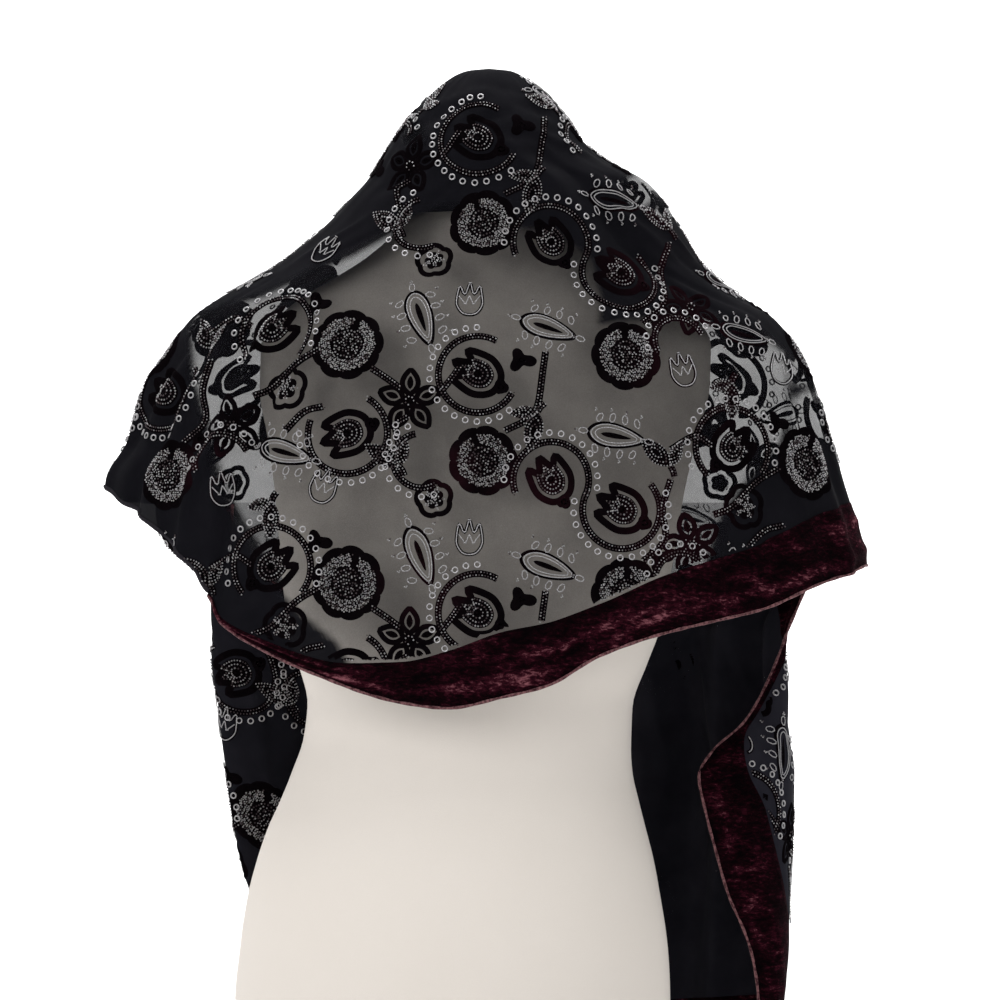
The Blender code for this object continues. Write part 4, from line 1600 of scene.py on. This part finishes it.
def motif_velvet():
    """Burnt-out velvet: near black, with a wine red painted sheen on fixed spots where its pile lies to the
    light.
    """
    nap = {"sheen": 0.007, "sheen_tint": (0.55, 0.42, 0.5), "sheen_roughness": 0.35}
    finish = Finish("motif velvet", roughness=0.95, specular=0.01, **nap)
    pile = finish.noise(420, detail=2)
    crush = finish.noise(70, detail=3)
    black = finish.blend(crush, (0.0004, 0.0003, 0.0005), (0.0036, 0.0022, 0.0030))
    # wine red painted sheen, put on the spots that the velvet marks
    wine = finish.blend(crush, (0.0018, 0.0006, 0.0011), (0.0125, 0.0036, 0.0056))
    finish.set("Base Color", finish.blend(finish.attribute("wine"), black, wine))
    finish.bump(pile + crush * 0.6, 0.0006, 0.6)
    return finish.material


def burgundy_velvet():
    """Crushed burgundy velvet: dark hollows and light flecks from its noise, painted shade and painted sheen
    where the pile turns from and to the light, and a painted highlight along the border's ridges.
    """
    nap = {"sheen": 0.03, "sheen_tint": (0.80, 0.25, 0.34), "sheen_roughness": 0.35}
    finish = Finish("crushed burgundy velvet", roughness=0.85, specular=0.02, **nap)
    lying = finish.node("ShaderNodeMapping", values={"Vector": finish.place(), "Scale": (1.0, 1.0, 2.3)})
    broad = finish.noise(34, detail=4, roughness=0.6, distortion=0.6, vector=lying)
    fleck = finish.noise(210, detail=5, roughness=0.72, distortion=0.5, vector=lying)
    # painted highlight along the ridges of the border, which lightens its colour
    ridge = finish.attribute("ridge")
    mixed = broad * 0.45 + fleck * 0.55 + ridge * 0.15
    colour = finish.ramp(
        mixed,
        (0.43, (0.0011, 0.0003, 0.0007)),
        (0.53, (0.0058, 0.0008, 0.0020)),
        (0.61, (0.027, 0.0036, 0.0080)),
        (0.73, (0.21, 0.074, 0.090)),
    )
    finish.set("Base Color", colour)
    finish.bump(mixed + fleck * 0.5, 0.0012, 0.8)
    return finish.material


def rolled_edge():
    """The rolled hem, whose worn pile is lighter than the border."""
    finish = Finish("rolled velvet edge", roughness=0.8, specular=0.1, sheen=0.15, sheen_tint=(0.9, 0.7, 0.7))
    worn = finish.noise(420, detail=3)
    finish.set("Base Color", finish.ramp(worn, (0.35, (0.030, 0.008, 0.011)), (0.65, (0.20, 0.092, 0.098))))
    finish.bump(worn, 0.0006, 0.7)
    return finish.material


def turned_chiffon():
    """The turned and beaded edge of the ground, with no border."""
    finish = Finish("turned chiffon edge", roughness=0.85, specular=0.08)
    slub = finish.noise(700, detail=2)
    finish.set("Base Color", finish.blend(slub, (0.007, 0.006, 0.009), (0.028, 0.025, 0.030)))
    finish.bump(slub, 0.0004, 0.6)
    return finish.material


def bead_metal(name, dull, bright, roughness, metallic=1.0):
    finish = Finish(name, metallic=metallic)
    tone = finish.noise(330, detail=1)
    finish.set("Base Color", finish.blend(tone, dull, bright))
    finish.set("Roughness", tone * 0.2 + roughness)
    return finish.material


def ivory_jersey():
    """The smooth knitted cover of the dress form."""
    finish = Finish("ivory jersey", roughness=0.9, specular=0.15, sheen=0.08, sheen_roughness=0.6)
    soft = finish.noise(9, detail=2)
    knit = finish.node("ShaderNodeTexWave", {"bands_direction": "Z", "wave_type": "BANDS"},
                       {"Vector": finish.place(), "Scale": 420, "Distortion": 1.4, "Detail": 1.0})
    grain = finish.noise(1300, detail=1)
    warm = finish.blend(soft, (0.725, 0.672, 0.615), (0.762, 0.710, 0.657))
    finish.set("Base Color", finish.blend(grain * 0.35, warm, (0.668, 0.610, 0.548)))
    finish.bump(knit * 0.5 + grain, 0.0003, 0.35)
    return finish.material


def black_cap():
    """The matt black cap of the form's neck."""
    finish = Finish("black neck cap", roughness=0.7, specular=0.1)
    grain = finish.noise(600, detail=2)
    finish.set("Base Color", finish.blend(grain, (0.006, 0.006, 0.009), (0.012, 0.012, 0.016)))
    finish.bump(grain, 0.0002, 0.4)
    return finish.material


def white_paper():
    finish = Finish("white paper", roughness=0.95, specular=0.0)
    grain = finish.noise(3, detail=1)
    finish.set("Base Color", finish.blend(grain, (0.93, 0.93, 0.93), (0.95, 0.95, 0.95)))
    return finish.material


def all_finishes():
    return {
        # the last number lightens the chiffon's colour: the falls take lighter copies, painted light for
        # their shaded reverse
        "cape chiffon": chiffon("sheer cape chiffon", 0.55, 0.996, 1.3),
        "right_fall chiffon": chiffon("right fall chiffon", 0.86, 1.0, 4.0),
        "left_fall chiffon": chiffon("left fall chiffon", 0.86, 1.0, 2.1),
        "velvet motifs": motif_velvet(),
        "border": burgundy_velvet(),
        "rolled edge": rolled_edge(),
        "turned edge": turned_chiffon(),
        "silver": bead_metal("silver seed beads", (0.25, 0.24, 0.25), (0.72, 0.71, 0.72), 0.22),
        "silver lines": bead_metal("silver bugle beads", (0.27, 0.26, 0.27), (0.52, 0.51, 0.52), 0.30, 0.6),
        "silver rings": bead_metal("silver ring beads", (0.24, 0.23, 0.24), (0.52, 0.51, 0.52), 0.28),
        "gunmetal": bead_metal("gunmetal seed beads", (0.030, 0.025, 0.028), (0.19, 0.155, 0.16), 0.25),
        "jersey": ivory_jersey(),
        "cap": black_cap(),
        "paper": white_paper(),
    }


# Pieces

def ready(piece, slot, *nodes):
    """A piece rides on the part and stands for its nodes, which are hidden. Its slot is not used."""
    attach(piece, "root")
    if nodes:
        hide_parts(*nodes)


def dress_form_torso(finish):
    """The body of the form, from its sections, with closed ends."""
    heights = column(FORM_SECTIONS, 0)
    fine = np.unique(np.concatenate((np.linspace(heights[0], heights[-1], 110), heights[-4:], heights[:2])))
    turn = np.linspace(0, 2 * math.pi, 112, endpoint=False)
    rings = []
    for height in fine:
        section = [float(smooth(heights, column(FORM_SECTIONS, index), height)) for index in range(1, 5)]
        x, y, half_width, half_depth = section
        around = (x + half_width * np.cos(turn), y + half_depth * np.sin(turn), np.full_like(turn, height))
        rings.append(np.column_stack(around))
    points = np.array(rings)
    count, sides = points.shape[:2]
    faces = grid_faces(count, sides, turned=True, closed=True)
    closing = [points[0].mean(axis=0), points[-1].mean(axis=0)]
    body = points.reshape(-1, 3)
    low, high = len(body), len(body) + 1
    index = np.arange(sides)
    following = (index + 1) % sides
    top = (count - 1) * sides
    base_fan = np.column_stack((np.full(sides, low), following, index))
    top_fan = np.column_stack((np.full(sides, high), top + index, top + following))
    triangles = np.vstack((faces[:, (0, 1, 2)], faces[:, (0, 2, 3)], base_fan, top_fan))
    piece = mesh_piece("dress_form_torso", np.vstack((body, closing)), triangles, finish)
    piece.data.set_sharp_from_angle(angle=math.radians(50))
    ready(piece, "form_jersey", "form_torso")


def dress_form_neck(finish):
    """The turned block on the form's neck."""
    low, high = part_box("form_neck")
    top = high.z / MM
    foot = low.z / MM
    profile = rounded(np.array(NECK_PROFILE, dtype=float), steps=5)
    profile = np.vstack((profile, (profile[-1, 0], top - foot), (0, top - foot)))
    turn = np.linspace(0, 2 * math.pi, 72, endpoint=False)
    x = NECK_CENTRE[0] + profile[:, 0][:, None] * np.cos(turn)[None]
    y = NECK_CENTRE[1] + profile[:, 0][:, None] * np.sin(turn)[None]
    z = np.repeat((top - profile[:, 1])[:, None], len(turn), axis=1)
    faces = grid_faces(len(profile), len(turn), closed=True)
    piece = mesh_piece("dress_form_neck", np.stack((x, y, z), axis=-1), faces, finish)
    piece.data.set_sharp_from_angle(angle=math.radians(50))
    ready(piece, "neck_cap", "form_neck")


def cape_sheet(surface, finish):
    """The sheer ground over the neck, shoulders and back."""
    edge = surface.edge
    angle = edge[:, 0]
    lowest = cape_drop(edge[:, 1]) + TUCK
    share = (np.arange(1, CAPE_ROWS + 1) / CAPE_ROWS) ** 1.1
    drop = lowest[None, :] * share[:, None]
    away = np.abs(plain_angle(angle))
    on_seam = (away > FALL_OUTER_ANGLE - SEAM_SLACK) & (away < FALL_INNER_ANGLE + SEAM_SLACK)
    drop[-1] = np.where(on_seam, lowest - TUCK, lowest)
    places = np.stack((
        np.broadcast_to((angle + CAPE_REACH) / CAPE_DEGREES, drop.shape),
        (drop - FIRST_DROP) / CAPE_DROP_STEP,
    ), axis=-1)
    rows = surface.at(places)
    apex = surface.points[0].mean(axis=0)
    points = np.vstack((apex[None], rows.reshape(-1, 3)))
    columns = len(edge)
    squares = grid_faces(CAPE_ROWS, columns, closed=True) + 1
    index = np.arange(columns)
    fan = np.column_stack((np.zeros(columns, int), 1 + index, 1 + (index + 1) % columns))
    faces = np.vstack((squares[:, (0, 1, 2)], squares[:, (0, 2, 3)], fan))
    piece = mesh_piece("cape_chiffon", points, faces, finish)
    turn = np.abs(plain_angle(np.concatenate(([180.0], np.broadcast_to(angle, drop.shape).ravel()))))
    front = ease((turn - 92) / 16)
    mark(piece, "layers", 1 - sheer_share(points) * (1 - FRONT_LAYERS * front))
    ready(piece, "beaded_chiffon", "shawl_cape")


def strip(name, points, finish, turned, ridge, thickness=BORDER_THICKNESS):
    """A strip of border cloth through a grid of points."""
    rows, columns = points.shape[:2]
    piece = mesh_piece(name, points, grid_faces(rows, columns, turned), finish)
    # the ridge values are the painted highlight along the border's ridges, for its finish to read
    mark(piece, "ridge", np.broadcast_to(ridge, (rows, columns)).ravel())
    wall = piece.modifiers.new("cloth wall", "SOLIDIFY")
    wall.thickness = thickness * MM
    wall.offset = -1
    return piece


def border_wave(along, across):
    """The crushed surface of a velvet border: soft ridges that run with its edge."""
    lift = 1.6 * np.exp(-((across - 0.74 - 0.06 * np.sin(along / 37)) / 0.09) ** 2)
    lift += 0.9 * np.exp(-((across - 0.40 - 0.12 * np.sin(along / 61 + 2)) / 0.08) ** 2)
    lift += 0.5 * np.sin(along / 9 + 3 * across) * np.sin(along / 23 + across * 5) * np.sin(math.pi * across)
    lift += 0.35 * np.sin(along / 4.3 - across * 4) * np.sin(math.pi * across) ** 2
    return lift


def border_ridge_highlight(along, across):
    """A painted highlight on a border: lighter streaks that run with its edge, along the ridges that
    border_wave raises.
    """
    low_line = 0.74 + 0.06 * np.sin(along / 37)
    high_line = 0.40 + 0.12 * np.sin(along / 61 + 2)
    low = np.exp(-((across - low_line) / 0.11) ** 2) * (0.65 + 0.35 * np.sin(along / 19 + 1))
    high = np.exp(-((across - high_line) / 0.09) ** 2) * (0.4 + 0.35 * np.sin(along / 43))
    return low + high


def cape_band(name, surface, ground, edge, finish, node):
    """A border of the cape, from the line of its ground to its free edge, and its rolled hem."""
    share = np.linspace(0, 1, BORDER_ROWS)[:, None]
    angle = ground[:, 0][None] * (1 - share) + edge[:, 0][None] * share
    height = ground[:, 1][None] * (1 - share) + edge[:, 1][None] * share
    places = surface.place(angle, height)
    middle = surface.at(places[BORDER_ROWS // 2])
    along = walked(middle)[None]
    lift = BORDER_LIFT + border_wave(along, share) * ease(share / 0.1) * ease((1.08 - share) / 0.1)
    points = surface.at(places, lift)
    # the border's colour takes a painted highlight along its ridges
    cloth = strip(name, points, finish["border"], False, border_ridge_highlight(along, share))
    ready(cloth, "burgundy_velvet", node)
    stitched = 0.35 * np.sin(walked(points[-1]) / 3.1)
    roll = surface.at(places[-1], lift[-1] - 0.4 + stitched * 0.5)
    hem = tube(f"{name}_rolled_edge", roll, ROLL_RADIUS + stitched * 0.4, finish["rolled edge"])
    ready(hem, "burgundy_velvet")


def hem_border(surface, lines, finish):
    line = lines["hem"]
    edge_height = smooth(column(HEM, 0), column(HEM, 1), line[:, 0])
    foot = np.column_stack((line[:, 0], edge_height))
    ground = line.copy()
    ground[-1, 0] -= HEM_END_TURN
    foot[-1, 0] -= HEM_END_TURN
    cape_band("hem_border", surface, ground, foot, finish, "border_hem")


def neck_border(surface, lines, finish):
    """The border along the upper edge, from fall to fall round the front of the neck."""
    ground = np.concatenate((lines["right_neck"], lines["left_neck"][1:]))
    keys = np.linspace(0, 1, len(NECK_BAND))
    place = np.interp(lines["right_neck"][:, 1], column(NECK_BAND, 3), keys)
    right = np.column_stack([smooth(keys, column(NECK_BAND, index), place) for index in (0, 1)])
    left = np.column_stack((-right[:, 0], right[:, 1]))[::-1]
    half = len(right)
    for name, first, second in (
        ("neck_border_right", ground[:half], right),
        ("neck_border_left", ground[half - 1:], left),
    ):
        first, second = first.copy(), second.copy()
        if name.endswith("left"):
            first[0, 0] = -180
            second[0, 0] = -180
        cape_band(name, surface, first, second, finish, "border_neck")


def wing_edge(surface, lines, finish):
    """The turned edge under the left wing, where the ground has no border."""
    line = lines["wing"]
    places = surface.place(line[:, 0], line[:, 1] + 0.5)
    roll = surface.at(places, -0.3)
    wave = 0.4 * np.sin(walked(roll) / 5.1)
    ready(tube("wing_turned_edge", roll, 1.6 + wave, finish["turned edge"]), "beaded_chiffon")


def fall_sheet(name, surface, finish, node):
    """The sheer ground of one fall, tucked under its borders."""
    share = np.linspace(0, 1, FALL_COLUMNS + 1)[None]
    row = np.linspace(0, 1, FALL_ROWS + 1)[:, None]
    foot = surface.foot(share) + BORDER_WIDTH - TUCK
    height = FALL_TOP + (foot - FALL_TOP) * row
    length = surface.length(height)
    first = BORDER_WIDTH - TUCK
    last = length - surface.border_width(height) + TUCK
    distance = first + (last - first) * share
    points = surface.at(surface.place(distance, height))
    piece = mesh_piece(name, points, grid_faces(*points.shape[:2], turned=surface.side > 0), finish)
    doubled = fall_layers(surface, distance / length, height).ravel()
    mark(piece, "layers", doubled * (1 - sheer_share(points.reshape(-1, 3))))
    ready(piece, "beaded_chiffon", node)


def fall_layers(surface, share, height):
    """Where a fall's cloth lies doubled: at its seam with the cape, and over its pleats."""
    if surface.side > 0:
        return 1 + 0 * share * height
    return np.maximum(ease((height - 410) / 40), 0.93 + 0.07 * ease((0.42 - share) / 0.2))


def fall_borders(name, surface, finish):
    """The three borders of a fall and their rolled hem."""
    row = np.linspace(0, 1, FALL_ROWS + 1)[:, None]
    share = np.linspace(0, 1, FALL_BORDER_COLUMNS)[None]
    side_name = name.split("_")[0]
    for stretch in ("inner", "outer"):
        side_share = 0.0 if stretch == "inner" else 1.0
        height = FALL_TOP + (surface.foot(side_share) - FALL_TOP) * row + 0 * share
        length = surface.length(height)
        if stretch == "inner":
            distance = BORDER_WIDTH * share + 0 * height
            outward = 1 - share
        else:
            width = surface.border_width(height)
            distance = length - width * (1 - share)
            outward = share
        wide = ease(surface.border_width(height) / 30) if stretch == "outer" else 1.0
        lift = BORDER_LIFT + wide * border_wave(FALL_TOP - height, outward) * ease((1 - outward) / 0.1 + 0.3)
        points = surface.at(surface.place(distance, height), lift)
        # painted highlight along the ridges of a side border
        ridge_highlight = FALL_RIDGE_HIGHLIGHT * border_ridge_highlight(FALL_TOP - height, outward)
        piece = strip(f"{name}_{stretch}_border", points, finish["border"], surface.side > 0, ridge_highlight)
        ready(piece, "burgundy_velvet", f"border_{side_name}_{stretch}")
    across = np.linspace(0, 1, FALL_COLUMNS + 1)[None]
    down = np.linspace(0, 1, FALL_BORDER_COLUMNS)[:, None]
    foot = surface.foot(across)
    height = foot + BORDER_WIDTH * (1 - down)
    length = surface.length(height)
    distance = length * across
    lift = BORDER_LIFT + 0.3 + border_wave(distance, down) * ease((1 - down) / 0.1 + 0.3)
    lift = lift * ease(np.minimum(across, 1 - across) / 0.01 + 0.6)
    points = surface.at(surface.place(distance, height), lift)
    # painted highlight along the ridges of the end border
    ridge_highlight = FALL_RIDGE_HIGHLIGHT * border_ridge_highlight(distance, down)
    piece = strip(f"{name}_end_border", points, finish["border"], surface.side > 0, ridge_highlight)
    ready(piece, "burgundy_velvet", f"border_{side_name}_end")
    fall_roll(name, surface, finish)


def fall_roll(name, surface, finish):
    """The rolled hem down the inner edge, along the lower end and up the free edge."""
    down = np.linspace(FALL_TOP - 1, surface.foot(0), 130)
    up = np.linspace(surface.foot(1), FALL_TOP - 1, 130)
    share = np.linspace(0, 1, 110)[1:-1]
    distance = np.concatenate((0 * down, share * surface.length(surface.foot(share)), surface.length(up)))
    height = np.concatenate((down, surface.foot(share), up))
    line = surface.at(surface.place(distance, height), BORDER_LIFT - 0.5)
    stitched = 0.35 * np.sin(walked(line) / 3.1)
    roll = tube(f"{name}_rolled_edge", line, ROLL_RADIUS + stitched * 0.4, finish["rolled edge"])
    ready(roll, "burgundy_velvet")


# Cloth cuts

# The flat cut of what shows of each sheet: name, width and length in metres, how it is
# held, what it rests on, and the pieces on it
SEWN_ON = ("velvet_motifs", "silver_seed_beads", "dark_seed_beads", "ring_beads", "silver_lines")
CUTS = (
    ("cape_chiffon", (0.53, 0.64), "draped", ("dress_form_torso", "dress_form_neck"),
     [f"cape_{part}" for part in SEWN_ON] + ["wing_turned_edge"]),
    ("hem_border", (0.045, 0.56), "draped", ("cape_chiffon",), ["hem_border_rolled_edge"]),
    ("neck_border_right", (0.045, 0.27), "draped", ("cape_chiffon",), ["neck_border_right_rolled_edge"]),
    ("neck_border_left", (0.045, 0.27), "draped", ("cape_chiffon",), ["neck_border_left_rolled_edge"]),
    ("right_fall_chiffon", (0.20, 0.40), "hung", ("cape_chiffon",),
     [f"right_fall_{part}" for part in SEWN_ON]),
    ("right_fall_inner_border", (0.045, 0.43), "hung", ("right_fall_chiffon",), ["right_fall_rolled_edge"]),
    ("right_fall_outer_border", (0.045, 0.41), "hung", ("right_fall_chiffon",), []),
    ("right_fall_end_border", (0.045, 0.28), "hung", ("right_fall_chiffon",), []),
    ("left_fall_chiffon", (0.20, 0.34), "hung", ("cape_chiffon",),
     [f"left_fall_{part}" for part in SEWN_ON]),
    ("left_fall_inner_border", (0.045, 0.36), "hung", ("left_fall_chiffon",), ["left_fall_rolled_edge"]),
    ("left_fall_outer_border", (0.045, 0.30), "hung", ("left_fall_chiffon",), []),
    ("left_fall_end_border", (0.045, 0.27), "hung", ("left_fall_chiffon",), []),
)


def declare_cloth():
    """Looks up the pieces on every sheet of cloth in the cuts; nothing more is done with them."""
    made = bpy.data.objects
    for name, flat, held, rests_on, beside in CUTS:
        sewn = [made[other] for other in beside]
        list(rests_on)


# Stage

# The paper in metres: floor from front to back, half its width, the bend up to the wall
# and the wall's top. The gap is how far under the form the floor lies, in mm.
FLOOR_FRONT = -50.0
FLOOR_BACK = 7.0
FLOOR_HALF = 40.0
WALL_BEND = 2.0
WALL_TOP = 16.0
FLOOR_GAP = 0.5

# Soft boxes: name, place, aim, size in metres and power in watts
SOFT_BOXES = (
    ("key", (-2.2, -2.4, 1.7), (0, 0, 0.45), (1.4, 1.8), 40),
    ("fill", (2.4, -2.6, 1.2), (0, 0, 0.4), (1.6, 1.6), 9),
    ("crown", (0.3, -0.6, 2.6), (0, 0, 0.5), (1.6, 1.2), 12),
    ("backdrop", (0.0, 0.9, 3.2), (0, 2.4, 0.6), (4.0, 1.0), 130),
    ("far backdrop", (0.0, 5.0, 3.5), (0, 7.5, 0.3), (4.0, 2.0), 320),
)
AIR_LIGHT = 0.5

# The photo's view: where the camera stands, its sensor in mm and the width that it sees at
# the form in metres
CAMERA_PLACE = (0.0225, -6.0, 0.459)
SENSOR_WIDTH = 36
SEEN_WIDTH = 0.75


def paper_stage(finish):
    """A white floor that curves up to a wall, far behind the form."""
    profile = [(FLOOR_FRONT, 0.0), (FLOOR_BACK, 0.0)]
    for turn in np.linspace(0, math.pi / 2, 14)[1:]:
        profile.append((FLOOR_BACK + WALL_BEND * math.sin(turn), WALL_BEND * (1 - math.cos(turn))))
    profile.append((FLOOR_BACK + WALL_BEND, WALL_TOP))
    profile = np.array(profile) / MM
    across = np.array((-FLOOR_HALF, FLOOR_HALF)) / MM
    points = np.array([[(x, y, z - FLOOR_GAP) for x in across] for y, z in profile])
    paper = mesh_piece("paper_backdrop", points, grid_faces(len(profile), 2, turned=True), finish)


def soft_box(name, place, target, size, power):
    light = bpy.data.lights.new(name, "AREA")
    light.shape = "RECTANGLE"
    light.size, light.size_y = size
    light.energy = power
    lamp = bpy.data.objects.new(name, light)
    lamp.location = place
    aim = Vector(target) - Vector(place)
    lamp.rotation_mode = "QUATERNION"
    lamp.rotation_quaternion = aim.to_track_quat("-Z", "Y")
    bpy.context.scene.collection.objects.link(lamp)


def studio():
    world = bpy.data.worlds.new("studio air")
    world.use_nodes = True
    background = world.node_tree.nodes["Background"]
    background.inputs["Color"].default_value = (1, 1, 1, 1)
    background.inputs["Strength"].default_value = AIR_LIGHT
    bpy.context.scene.world = world
    for box in SOFT_BOXES:
        soft_box(*box)
    bpy.context.scene.view_settings.view_transform = "Standard"


def photo_camera():
    camera = bpy.data.cameras.new("photo camera")
    camera.sensor_width = SENSOR_WIDTH
    camera.lens = SENSOR_WIDTH * -CAMERA_PLACE[1] / SEEN_WIDTH
    camera.clip_end = 60
    placed = bpy.data.objects.new("photo camera", camera)
    placed.location = CAMERA_PLACE
    placed.rotation_euler = (math.pi / 2, 0, 0)
    bpy.context.scene.collection.objects.link(placed)
    bpy.context.scene.camera = placed


def main():
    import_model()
    finish = all_finishes()
    dress_form_torso(finish["jersey"])
    dress_form_neck(finish["cap"])
    lines = cape_lines()
    cape = CapeSurface(lines)
    cape_sheet(cape, finish["cape chiffon"])
    hem_border(cape, lines, finish)
    neck_border(cape, lines, finish)
    wing_edge(cape, lines, finish)
    pattern_pieces("cape", cape_pattern(cape), finish)
    falls = (
        ("right_fall", RIGHT_FALL, RIGHT_PLEATS, 1, RIGHT_BORDER, RIGHT_END, 21, 470),
        ("left_fall", LEFT_FALL, LEFT_PLEATS, -1, LEFT_BORDER, LEFT_END, 31, 440),
    )
    for name, rows, pleats, side, border, end, seed, start in falls:
        surface = FallSurface(rows, pleats, side, border, end)
        fall_sheet(f"{name}_chiffon", surface, finish[f"{name} chiffon"], f"shawl_{name}")
        fall_borders(name, surface, finish)
        pattern_pieces(name, fall_pattern(surface, seed, start), finish)
    declare_cloth()
    paper_stage(finish["paper"])
    studio()
    photo_camera()


main()
